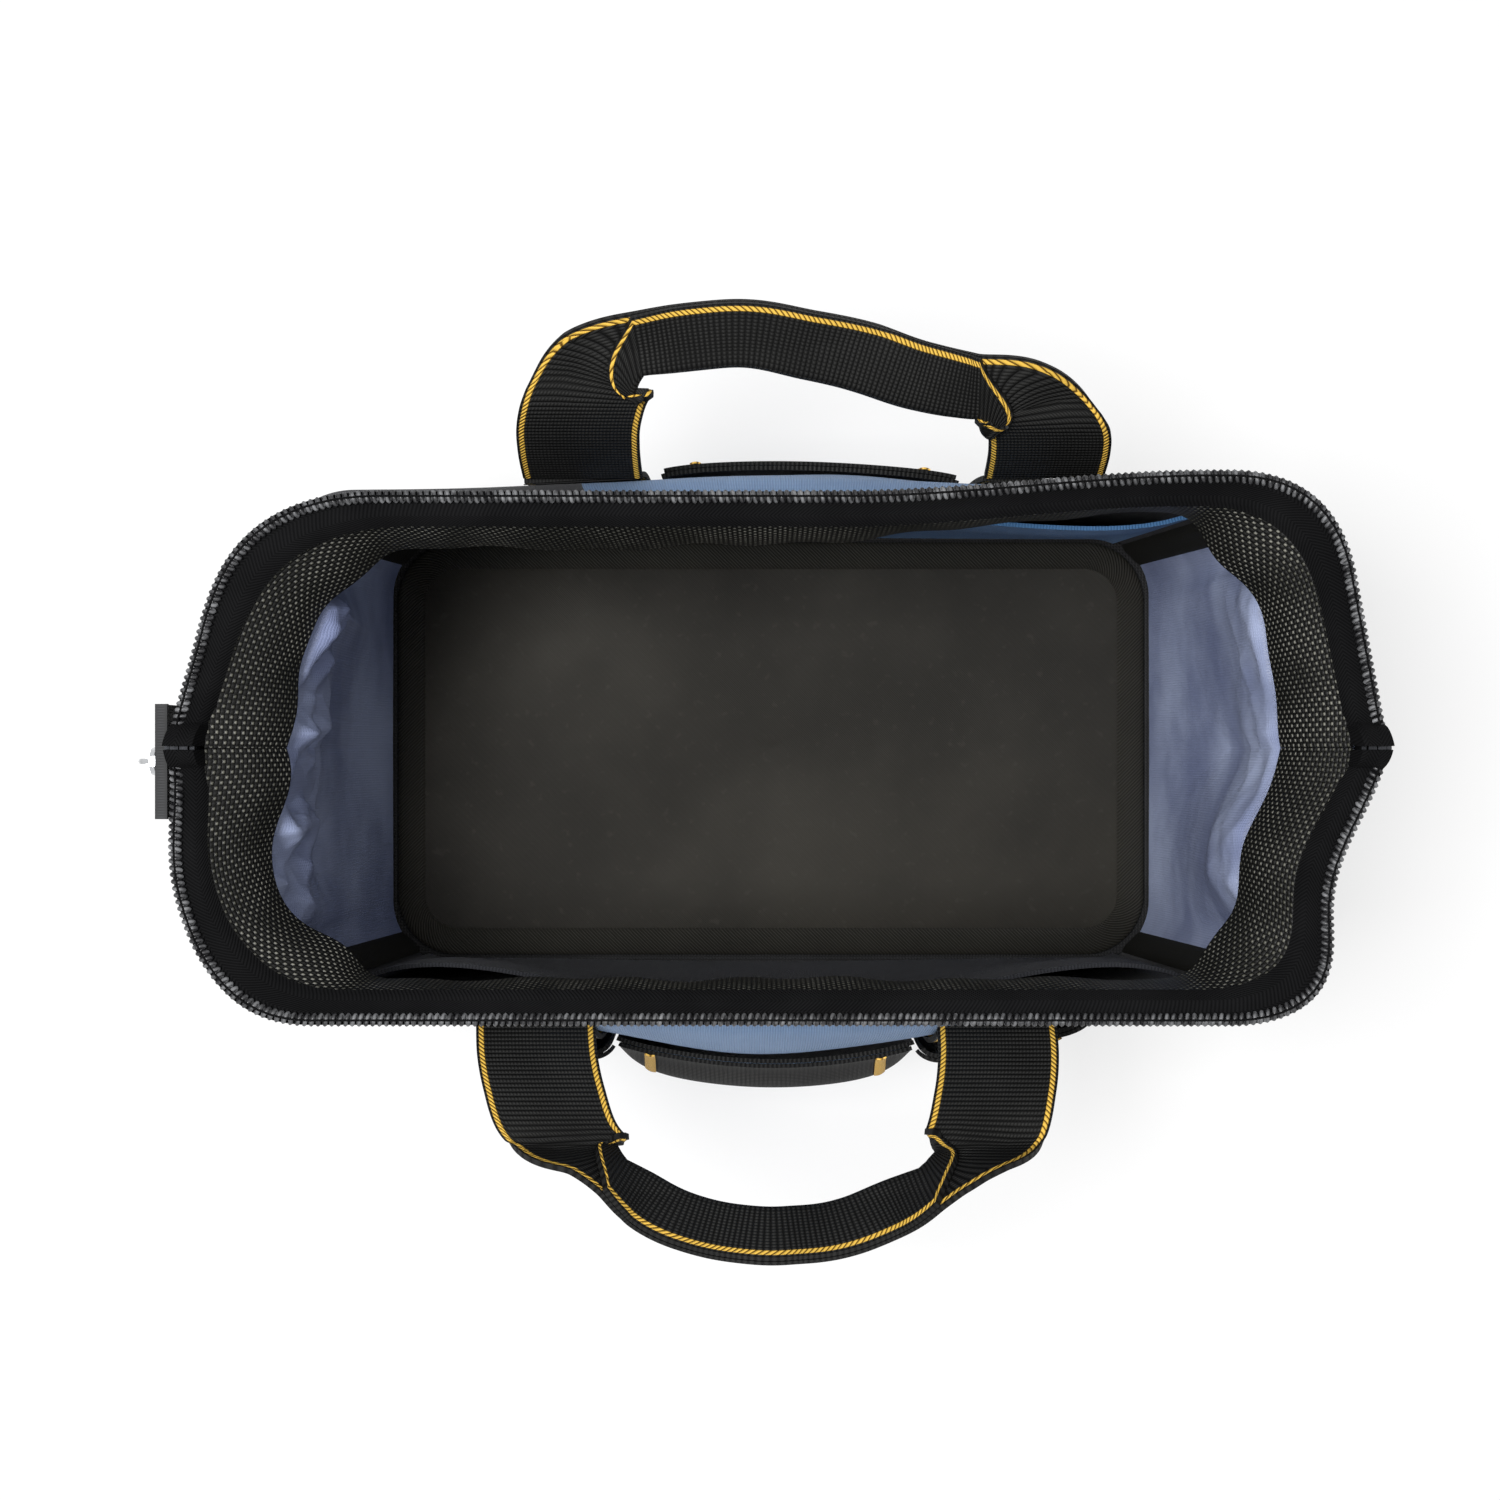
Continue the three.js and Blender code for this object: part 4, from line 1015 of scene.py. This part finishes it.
def make_floor_cover(corners):
    """The floor insert: a crowned pad of rings from its middle out, lower by the ring's eighth power."""
    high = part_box("floor_insert")[1]
    plan = rounded_plan(high[0] + FLOOR_OVERHANG, high[1] + FLOOR_OVERHANG, FLOOR_CORNER, corners)
    ring = np.concatenate([np.linspace(0, 0.9, 30), np.linspace(0.92, 1, 9)])
    xy = plan[:, None, :] * ring[None, :, None]
    soft = ripples(xy[..., 0], xy[..., 1], 21, 8, (0.05, 0.2)) * (1 - ring[None, :] ** 6)
    z = high[2] - FLOOR_COVER_THICK / 2 - FLOOR_CROWN * ring[None, :] ** 8 + FLOOR_RIPPLE * soft
    piece = shell("floor_insert_cover", lifted(xy, z)[::-1], FLOOR_COVER_THICK, [FLOOR], xy[::-1])
    place(piece, "bag", "floor_insert")


def make_floor_binding(corners):
    """A rolled tape round the floor insert: a flat half circle across, carried round the edge."""
    low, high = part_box("floor_binding")
    half_x, half_y = high[0] - FLOOR_BEAD_INSET, high[1] - FLOOR_BEAD_INSET
    path = rounded_plan(half_x, half_y, FLOOR_BEAD_CORNER, corners)
    angle = np.linspace(0, np.pi, 13)
    ledge = np.stack([lifted(path, 0 * corners), lifted(path, 0 * corners + 1e-3)], axis=1)
    side = normals_of(ledge)[:, 0]
    bead = path[:, None, :] + side[:, None, :2] * (FLOOR_BEAD * np.cos(angle))[None, :, None]
    rise = FLOOR_BEAD_RISE * np.sin(angle)[None, :] ** 0.5
    lift = low[2] + FLOOR_BEAD_LIFT + rise + 0 * bead[..., 0]
    piece = shell("floor_binding_tape", lifted(bead, lift), FLOOR_BEAD_THICK, [FLOOR_EDGE])
    place(piece, "bag", "floor_binding")


# The zipped rim

def knuckle_cover(side, y, z, across):
    """Over a pivot the tape follows a half circle about the pivot's axis, and eases down beside it."""
    radius = KNUCKLE_RADIUS[side]
    over = RIM_Z + np.sqrt(np.maximum(0.0, radius ** 2 - y ** 2))
    beside = z + KNUCKLE_EASE * np.exp(-(np.abs(y) - radius) / KNUCKLE_EASE_RUN)
    hump = np.where(np.abs(y) < radius, np.maximum(z, over), beside)
    return lerp(hump, z - KNUCKLE_DROP, smooth((across - KNUCKLE_EDGE) / (1 - KNUCKLE_EDGE)))


def sleeve_lines(side, share):
    """The sleeve's head and foot. Its foot leans in along the side, more at the ends, and most at the
    pivots, where it hangs nearly straight across. The third result is 1 at the ends, 0 along the side."""
    head = rim(side, SLEEVE_INSET, share, SLEEVE_GAP)
    at_end = smooth((np.abs(head[:, 0]) - LEAN_START) / LEAN_RUN)[:, None]
    at_left, at_right = SLEEVE_SIDE_LEAN[side]
    less = rim(side, SLEEVE_INSET + at_right, share, SLEEVE_GAP)
    more = rim(side, SLEEVE_INSET + at_left, share, SLEEVE_GAP)
    along_side = lerp(more, less, smooth((head[:, :1] - SIDE_LEAN_START) / SIDE_LEAN_RUN))
    foot = lerp(along_side, rim(side, SLEEVE_INSET + SLEEVE_END_LEAN, share, SLEEVE_GAP), at_end)
    hang = np.where(head[:, 0] < 0, SLEEVE_HANG[-1], SLEEVE_HANG[1])
    hang = hang * (1 - smooth(np.abs(head[:, 1]) / SLEEVE_HANG_RUN)) * at_end[:, 0]
    foot = foot - stack(np.sign(head[:, 0]) * hang, 0 * hang)
    return head, foot, at_end


def sleeve_foot_reach(end, side, y):
    """How far out the sleeve's foot hangs at an end, for a place across it."""
    foot = sleeve_lines(side, np.linspace(0, 1, 800))[1]
    part = foot[foot[:, 0] * end > FOOT_END_START]
    part = part[np.argsort(np.abs(part[:, 1]))]
    return np.interp(np.abs(y), np.abs(part[:, 1]), np.abs(part[:, 0]))


def rim_shares(count):
    """Shares along the rim, closer together at the pivots."""
    t = np.linspace(0, 1, count + 1)
    return t - PIVOT_CROWDING * np.sin(2 * np.pi * t) / (2 * np.pi)


def make_sleeve(name, side, share, flip):
    """The sleeve: from foot to head, with a sag of one sine between them and a wavy foot."""
    v = np.linspace(0, 1, 17)[None, :, None]
    head, foot, at_end = sleeve_lines(side, share)
    tuck = SLEEVE_TUCK * np.exp(-(head[:, 1] / SLEEVE_TUCK_RUN) ** 2)
    head = head - stack(np.sign(head[:, 0]) * tuck, 0 * tuck)
    sag = np.sin(np.pi * v) * (SLEEVE_SAG + SLEEVE_END_SAG * at_end[:, None])
    wavy = SLEEVE_WAVE * np.sin(share * 61.0) * np.sin(share * 23.0 + 1.0)
    inwards = unit(foot - head)
    plan = lerp(foot[:, None], head[:, None], v)
    plan = plan + inwards[:, None] * (sag + (1 - v) * wavy[:, None, None])
    foot_z = SLEEVE_FOOT + SLEEVE_FOOT_WAVE * np.sin(share * 90.0)[:, None]
    z = lerp(foot_z, BAND_TOP, v[..., 0])
    piece = shell(f"{name}_sleeve_webbing", lifted(plan, z)[flip], BAND_THICK, [SLEEVE])
    place(piece, f"{name}_frame", f"{name}_frame_sleeve")


def make_hem(name, side, share, flip):
    """The hem behind the sleeve: upright from its foot to the rim, a little lower at the pivots."""
    v = np.linspace(0, 1, 17)[None, :]
    edge = rim(side, HEM_INSET, share)
    low = np.exp(-(edge[:, 1] / HEM_LOW_RUN) ** 2)[:, None]
    z = lerp(SLEEVE_FOOT, BAND_TOP - HEM_LOW * low, v)
    plan = np.broadcast_to(edge[:, None], (*z.shape, 2))
    piece = shell(f"{name}_rim_cloth", lifted(plan, z)[flip], BAND_THICK, [BLACK])
    place(piece, f"{name}_frame", f"{name}_rim_hem")


def make_tape(name, side, share, flip):
    """The zip's tape: flat from its outer to its inner edge, which droops, and arched over the pivots."""
    w = np.linspace(0, 1, 15)[None, :, None]
    plan = lerp(rim(side, TAPE_OUTER, share)[:, None], rim(side, TAPE_INNER, share)[:, None], w)
    droop = TAPE_DROOP * smooth((w[..., 0] - TAPE_DROOP_START) / (1 - TAPE_DROOP_START))
    z = knuckle_cover(side, plan[..., 1], TAPE_Z - droop, w[..., 0])
    piece = shell(f"{name}_zip_tape_cloth", lifted(plan, z)[flip], TAPE_THICK, [TAPE])
    place(piece, f"{name}_frame", f"{name}_zip_tape")


def make_coil(name, side):
    """The zip's coil: a flattened helix round the rim, one turn for each pitch, and its stitching."""
    dense = rim(side, COIL_INSET, np.linspace(0, 1, 1500), COIL_GAP)
    turns = int(walked_along(dense)[-1] / COIL_PITCH)
    share = np.linspace(0, 1, turns * COIL_STEPS + 1)
    core = walk(dense, share)
    slope = unit(np.gradient(core, axis=0))
    out = stack(slope[:, 1], -slope[:, 0])
    out = out * np.sign((out * core).sum(axis=-1, keepdims=True))
    angle = 2 * np.pi * turns * share
    plan = core + out * (COIL_REACH * np.cos(angle))[:, None]
    path = lifted(plan, COIL_Z + COIL_RISE * np.sin(angle))
    piece = tube(f"{name}_coil_turns", path, COIL_WIRE, COIL)
    place(piece, f"{name}_frame", f"{name}_zip_coil")
    step = np.linspace(0, 1, 900)
    top = COIL_Z + COIL_RISE + COIL_WIRE + STITCH_LIFT - STITCH_WAVE * np.cos(step * turns * np.pi)
    piece = tube(f"{name}_coil_stitching", lifted(walk(dense, step), top), STITCH_RADIUS, TAPE)
    place(piece, f"{name}_frame")


def make_rim():
    """Sleeve, hem, tape and coil of each mouth frame."""
    for name, side in SIDES:
        share = rim_shares(420)
        flip = slice(None) if side < 0 else slice(None, None, -1)
        make_sleeve(name, side, share, flip)
        make_hem(name, side, share, flip)
        make_tape(name, side, share, flip)
        make_coil(name, side)


# Webbing

def strap_strip(name, side, middle, heights, thick, off):
    """Webbing laid on a wall, between the heights given: the wall's middle surface, moved out."""
    z, v = np.meshgrid(heights, np.linspace(0, 1, 21), indexing="ij")
    across = (v - 0.5) * WEBBING * side
    x = middle + across
    points = stack(x, long_wall_y(side, x, z) + side * off, z)
    return shell(name, points, thick, [WEBBED, WEBBED, PLAIN_WEBBED], stack(z, across), edge=2)


def make_straps():
    """Straps sewn down the walls, and above each the thin tuck that goes in behind the handle's root."""
    heights = np.linspace(POCKET_FOOT, STRAP_TOP, 91)
    tuck_heights = np.linspace(TUCK_FOOT, TUCK_TOP, 7)
    for row, side in SIDES:
        for column, end in ENDS:
            name = f"{row}_{column}_strap"
            middle = SHIFT[side] + end * HANDLE_SPACING / 2
            strap = strap_strip(f"{name}_webbing", side, middle, heights, WEBBING_THICK, STRAP_OFF)
            place(strap, "bag", name)
            tuck = strap_strip(f"{name}_tuck", side, middle, tuck_heights, TUCK_THICK, TUCK_OFF)
            place(tuck, "bag")


def spline(points, count):
    """A curve through points: each span is a cubic, its end slopes half the step between neighbours."""
    points = np.array(points)
    last = len(points) - 1
    t = np.linspace(0, last, count)
    at = np.minimum(t.astype(int), last - 1)
    f = (t - at)[:, None]
    before, start = points[np.maximum(at - 1, 0)], points[at]
    end, after = points[at + 1], points[np.minimum(at + 2, last)]
    leave, arrive = (end - before) / 2, (after - start) / 2
    cubic = (2 * start - 2 * end + leave + arrive) * f ** 3
    return cubic + (3 * end - 3 * start - 2 * leave - arrive) * f ** 2 + leave * f + start


def make_handle(name, side):
    """One strip of webbing, flat and straight on its legs, about a line down its middle.

    From each leg's inner edge a fold line runs aslant to the middle: what lies past it is turned over onto
    the outer half, at 2 * fold - w across. The doubled grip rolls about its crease by the handle's roll,
    and by its twist more just past the two folds. The whole lies at the handle's lift above level.
    """
    station = np.linspace(0, 1, 401)
    middle = walk(spline(CREASE[side], 600) * (HANDLE_SPACING / 2, HANDLE_DEPTH), station)
    slope = unit(np.gradient(middle, axis=0))
    from_root = 1 - np.abs(2 * station - 1)
    on_left = station < 0.5
    left_fold, right_fold = FOLDS[side]
    begin = np.where(on_left, left_fold[0], right_fold[0])
    done = np.where(on_left, left_fold[1], right_fold[1])
    progress = np.clip((from_root - begin) / (done - begin), 0, 1)[:, None]
    share = smooth(progress)
    leg = stack(np.where(on_left, -1.0, 1.0), 0 * station)
    outward = unit(lerp(leg, stack(-slope[:, 1], slope[:, 0]), share))

    fold = WEBBING / 2 * lerp(FOLD_EDGE, 0.0, progress)
    part = np.linspace(0, 1, 22)[None, :]
    w = np.concatenate([lerp(-WEBBING / 2, fold, part), lerp(fold, WEBBING / 2, part[:, 1:])], axis=1)
    past = np.maximum(w - fold, 0)
    over = np.pi * smooth(progress / FOLD_TIP)
    inward = np.minimum(w, fold) + past * np.cos(over)
    layer = WEBBING_THICK + FOLD_GAP
    height = past * np.sin(over) + layer * over / np.pi * smooth(past / (2 * FOLD_GAP))
    height = height - layer / 2 * share
    past_fold = np.exp(-((from_root - (begin + done) / 2 - HOLLOW_PLACE) / FOLD_ROLL_RUN) ** 2)[:, None]
    turn = smooth(ROLL_RATE * progress) * np.radians(HANDLE_ROLL[side] + HANDLE_TWIST[side] * past_fold)
    inset = inward * np.cos(turn) + height * np.sin(turn)
    plane = middle[:, None] - outward[:, None] * inset[..., None]
    up = height * np.cos(turn) - inward * np.sin(turn)
    up = up + HANDLE_BOW * np.sin(np.pi * np.clip(plane[..., 1] / HANDLE_DEPTH, 0, 1))
    sunk = np.exp(-((from_root - begin - HOLLOW_PLACE) / HOLLOW_RUN) ** 2)[:, None]
    up = up - HOLLOW * sunk * np.clip(0.5 - 2 * w / WEBBING, 0, 1)
    kinks = np.sin(station * KINK_WAVES) * smooth((from_root - KINK_START) / KINK_RUN)
    up = up + HANDLE_KINK[side] * kinks[:, None]
    lift = np.radians(HANDLE_LIFT[side])
    rise, run = np.sin(lift), np.cos(lift)
    y = side * (HANDLE_ROOT_Y[side] + plane[..., 1] * run - up * rise)
    points = stack(SHIFT[side] + plane[..., 0], y, HANDLE_ROOT + plane[..., 1] * rise + up * run)

    walked = walked_along(middle)[:, None]
    leg_ribs = np.where(on_left[:, None], plane[..., 1], walked[-1] - plane[..., 1])
    ribs = np.where(np.abs(w) > EDGE_RIBS * WEBBING / 2, walked, lerp(leg_ribs, walked, share))
    cloth = stack(ribs, w)
    flip = slice(None) if side < 0 else slice(None, None, -1)
    finishes = [WEBBED, WEBBED, PLAIN_WEBBED]
    piece = shell(f"{name}_webbing", points[flip], WEBBING_THICK, finishes, cloth[flip], edge=2)
    place(piece, name, name)


# Pockets

def pocket_gap(depth, across, up, draw=0.0):
    """How far a pocket stands off its wall: sewn down at its sides and foot, full above, drawn in at its
    mouth."""
    shape = (1 - np.clip(np.abs(2 * across - 1), 0, 1) ** 7) ** 0.8
    drawn = draw * smooth((up - POCKET_MOUTH) / (1 - POCKET_MOUTH))
    return depth * shape * (smooth(up * POCKET_FULLNESS) - drawn)


# Each pocket's name, then its side, middle, width, depth, draw and room, and its cloth
POCKETS = [
    ("front_centre_pocket", (-1, FRONT_SHIFT, 0.100, 0.0105, 0.93, 0.0), BLUE),
    ("front_left_pocket", (-1, -0.078, 0.044, 0.0065, 0.3, 0.0028), GREY),
    ("front_right_pocket", (-1, 0.078, 0.056, 0.0065, 0.3, 0.0028), GREY),
    ("rear_pocket", (1, REAR_SHIFT, 0.100, 0.0030, 0.6, 0.0), BLUE),
]

# Each inner panel's name, side, depth, cloth and the places of its divider seams
INNER_POCKETS = [
    ("front_inner_pocket", -1, 0.010, GREY, (-0.045, 0.034)),
    ("rear_inner_pocket", 1, 0.008, PANEL, (-0.003,)),
]


def pocket_points(pocket, across, up):
    """A pocket's middle surface: the wall, moved out by the cloths, the pocket's room and its gap."""
    side, middle, width, depth, draw, room = pocket
    x = middle + (across - 0.5) * width
    z = lerp(POCKET_FOOT, POCKET_TOP, up)
    off = POCKET_OFF + room + pocket_gap(depth, across, up, draw)
    return stack(x, long_wall_y(side, x, z) + side * off, z)


def make_outer_pockets():
    """Outer pockets with a webbing hem at the mouth and a gold bar tack near each end of the hem."""
    for number, (name, pocket, cloth) in enumerate(POCKETS):
        side, width = pocket[0], pocket[2]
        u, v = grid(80, 80)
        points = pocket_points(pocket, u if side < 0 else 1 - u, v)
        fade = smooth(np.minimum(u, 1 - u) * 5) * smooth(v * 3) * (1 - smooth((v - 0.72) / 0.2))
        soft = POCKET_RIPPLE * ripples(points[..., 0], points[..., 2], 40 + number, 6, (0.04, 0.1))
        points = points + normals_of(points) * (soft * fade)[..., None]
        piece = shell(f"{name}_cloth", points, POCKET_THICK, [cloth, GREY, PLAIN_WEBBED], edge=2)
        place(piece, "bag", name)

        hem_u, hem_v = grid(90, 16)
        across = lerp(HEM_END, 1 - HEM_END, hem_u if side < 0 else 1 - hem_u)
        base = pocket_points(pocket, across, lerp(HEM_START, 1.0, hem_v))
        points = base + normals_of(base) * HEM_OFF
        hem_cloth = stack(across * width, (hem_v - 0.5) * HEM_HEIGHT)
        piece = shell(f"{name}_hem_webbing", points, HEM_THICK, [PLAIN_WEBBED], hem_cloth)
        place(piece, "bag", f"{name}_hem")
        make_bar_tacks(name, pocket)


def make_bar_tacks(name, pocket):
    """Two short bars of close stitches on a hem: strips that stand a little off its face."""
    side, width = pocket[0], pocket[2]
    for label, middle in (("left", TACK_PLACE / width), ("right", 1 - TACK_PLACE / width)):
        u, v = grid(6, 24)
        across = middle + (u - 0.5) * TACK_WIDTH / width * -side
        base = pocket_points(pocket, across, lerp(lerp(HEM_START, 1, TACK_FOOT), TACK_TOP, v))
        crown = TACK_OFF + TACK_CROWN * np.sin(np.pi * u)
        points = base + normals_of(base) * crown[..., None]
        piece = shell(f"{name}_{label}_bar_tack", points, TACK_THICK, [THREAD])
        place(piece, "bag")


def make_inner_pockets():
    """A panel on each long wall inside, sewn down at its foot, its ends and its dividers."""
    for name, side, depth, cloth, dividers in INNER_POCKETS:
        u, v = grid(180, 60)
        across = 1 - u if side < 0 else u
        dip = INNER_DIP * np.sin(np.pi * across) ** 2 + INNER_WAVE * np.sin(across * INNER_WAVES)
        z = lerp(INNER_FOOT, INNER_TOP - dip, v)
        along = INNER_REACH * (2 * across - 1)
        x = along * (half_length(z) - CORNER)
        sewn = np.ones_like(x)
        for seam in dividers:
            sewn = sewn * (1 - DIVIDER_DRAW * np.exp(-((x - seam) / DIVIDER_WIDTH) ** 2))
        points = long_wall(side, along, z, -POCKET_OFF - pocket_gap(depth, across, v) * sewn)
        piece = shell(f"{name}_cloth", points, POCKET_THICK, [cloth, GREY])
        place(piece, "bag", name)


# Pieces that keep their solids

def finish_solids():
    """Gives the carried-over solids their finishes."""
    finishes = {
        "base_panel": BLACK_SOLID,
        "base_board": BLACK_SOLID,
        "front_frame_rod": STEEL,
        "rear_frame_rod": STEEL,
        "left_pivot_rivet": STEEL,
        "right_pivot_rivet": STEEL,
        "zip_tail": TAIL,
        "zip_slider": PLATED,
        "zip_pull": PLATED,
    }
    for name, finish in finishes.items():
        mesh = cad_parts[name].data
        mesh.materials.clear()
        mesh.materials.append(finish)


# Floor, light and camera

def make_stage():
    """A pale floor that reads as white, and soft light from above."""
    finish = Finish("pale_floor", 0.9, specular=0.1)
    cloud = finish.patch(0.6, 0.2, 0.8)
    finish.colour(finish.blend(cloud, (0.90, 0.90, 0.90, 1), (0.93, 0.93, 0.93, 1)))
    soften_shadow(finish)
    u, v = grid(1, 1)
    flat = stack((u - 0.5) * 2 * STAGE_REACH, (v - 0.5) * 2 * STAGE_REACH, 0 * u - STAGE_DROP)
    ground = build_mesh("pale_floor", flat, quads_of(1, 1).tolist(), stack(u, v), [finish.material])
    world = bpy.data.worlds.new("studio")
    world.use_nodes = True
    show_white(world.node_tree)
    bpy.context.scene.world = world
    add_light("key_light", *KEY_LIGHT)
    add_light("fill_light", *FILL_LIGHT)


def white_rays(tree):
    """1 for camera, glossy and transmission rays, which see white surroundings, and 0 for the rest."""
    rays = tree.nodes.new("ShaderNodeLightPath")
    seen = rays.outputs["Is Camera Ray"]
    for kind in ("Is Glossy Ray", "Is Transmission Ray"):
        either = tree.nodes.new("ShaderNodeMath")
        either.operation = "MAXIMUM"
        tree.links.new(seen, either.inputs[0])
        tree.links.new(rays.outputs[kind], either.inputs[1])
        seen = either.outputs[0]
    return seen


def show_white(tree):
    """Plain soft light all round, which the camera and mirror-like faces see as white."""
    soft = tree.nodes["Background"]
    soft.inputs["Color"].default_value = (1.0, 1.0, 1.0, 1.0)
    soft.inputs["Strength"].default_value = WORLD_LIGHT
    seen = tree.nodes.new("ShaderNodeBackground")
    mix = tree.nodes.new("ShaderNodeMixShader")
    seen.inputs["Color"].default_value = (1.0, 1.0, 1.0, 1.0)
    seen.inputs["Strength"].default_value = 1.0
    tree.links.new(white_rays(tree), mix.inputs[0])
    tree.links.new(soft.outputs[0], mix.inputs[1])
    tree.links.new(seen.outputs[0], mix.inputs[2])
    tree.links.new(mix.outputs[0], tree.nodes["World Output"].inputs["Surface"])


def soften_shadow(finish):
    """Seen by the camera or in a mirror-like face, part of the floor's white is its own glow, so that its
    shadow stays light."""
    nodes, links = finish.tree.nodes, finish.tree.links
    glow = nodes.new("ShaderNodeEmission")
    glow.inputs["Strength"].default_value = 1.0
    mix = nodes.new("ShaderNodeMixShader")
    links.new(finish.math("MULTIPLY", white_rays(finish.tree), FLOOR_GLOW), mix.inputs[0])
    links.new(finish.shader.outputs[0], mix.inputs[1])
    links.new(glow.outputs[0], mix.inputs[2])
    links.new(mix.outputs[0], nodes["Material Output"].inputs["Surface"])


def add_light(name, spot, size, power):
    """A square soft lamp at a spot, turned to face the bag."""
    lamp = bpy.data.lights.new(name, "AREA")
    lamp.size = size
    lamp.energy = power
    holder = bpy.data.objects.new(name, lamp)
    holder.location = spot
    aim = LIGHT_AIM - np.array(spot)
    tilt = np.arccos(-aim[2] / np.linalg.norm(aim))
    holder.rotation_euler = (tilt, 0, np.arctan2(aim[1], aim[0]) - np.pi / 2)
    bpy.context.scene.collection.objects.link(holder)


def make_camera():
    """Straight above the mouth, with the front of the bag at the foot of the picture."""
    lens = bpy.data.cameras.new("above")
    lens.sensor_width = CAMERA_SENSOR
    lens.lens = CAMERA_LENS
    holder = bpy.data.objects.new("above", lens)
    holder.location = CAMERA_PLACE
    bpy.context.scene.collection.objects.link(holder)
    bpy.context.scene.camera = holder


make_camera()
make_stage()
finish_solids()
make_long_wall(-1, "front_wall_cloth", "front_wall")
make_long_wall(1, "rear_wall_cloth", "rear_wall")
make_end_walls()
make_gusset_pleats()
make_seam_bindings()
floor_corners = np.linspace(0, 2 * np.pi, 257) + 1e-6
make_floor_cover(floor_corners)
make_floor_binding(floor_corners)
make_rim()
make_straps()
make_handle("front_handle", -1)
make_handle("rear_handle", 1)
make_outer_pockets()
make_inner_pockets()

bpy.context.scene.view_settings.view_transform = "Standard"
bpy.context.view_layer.update()
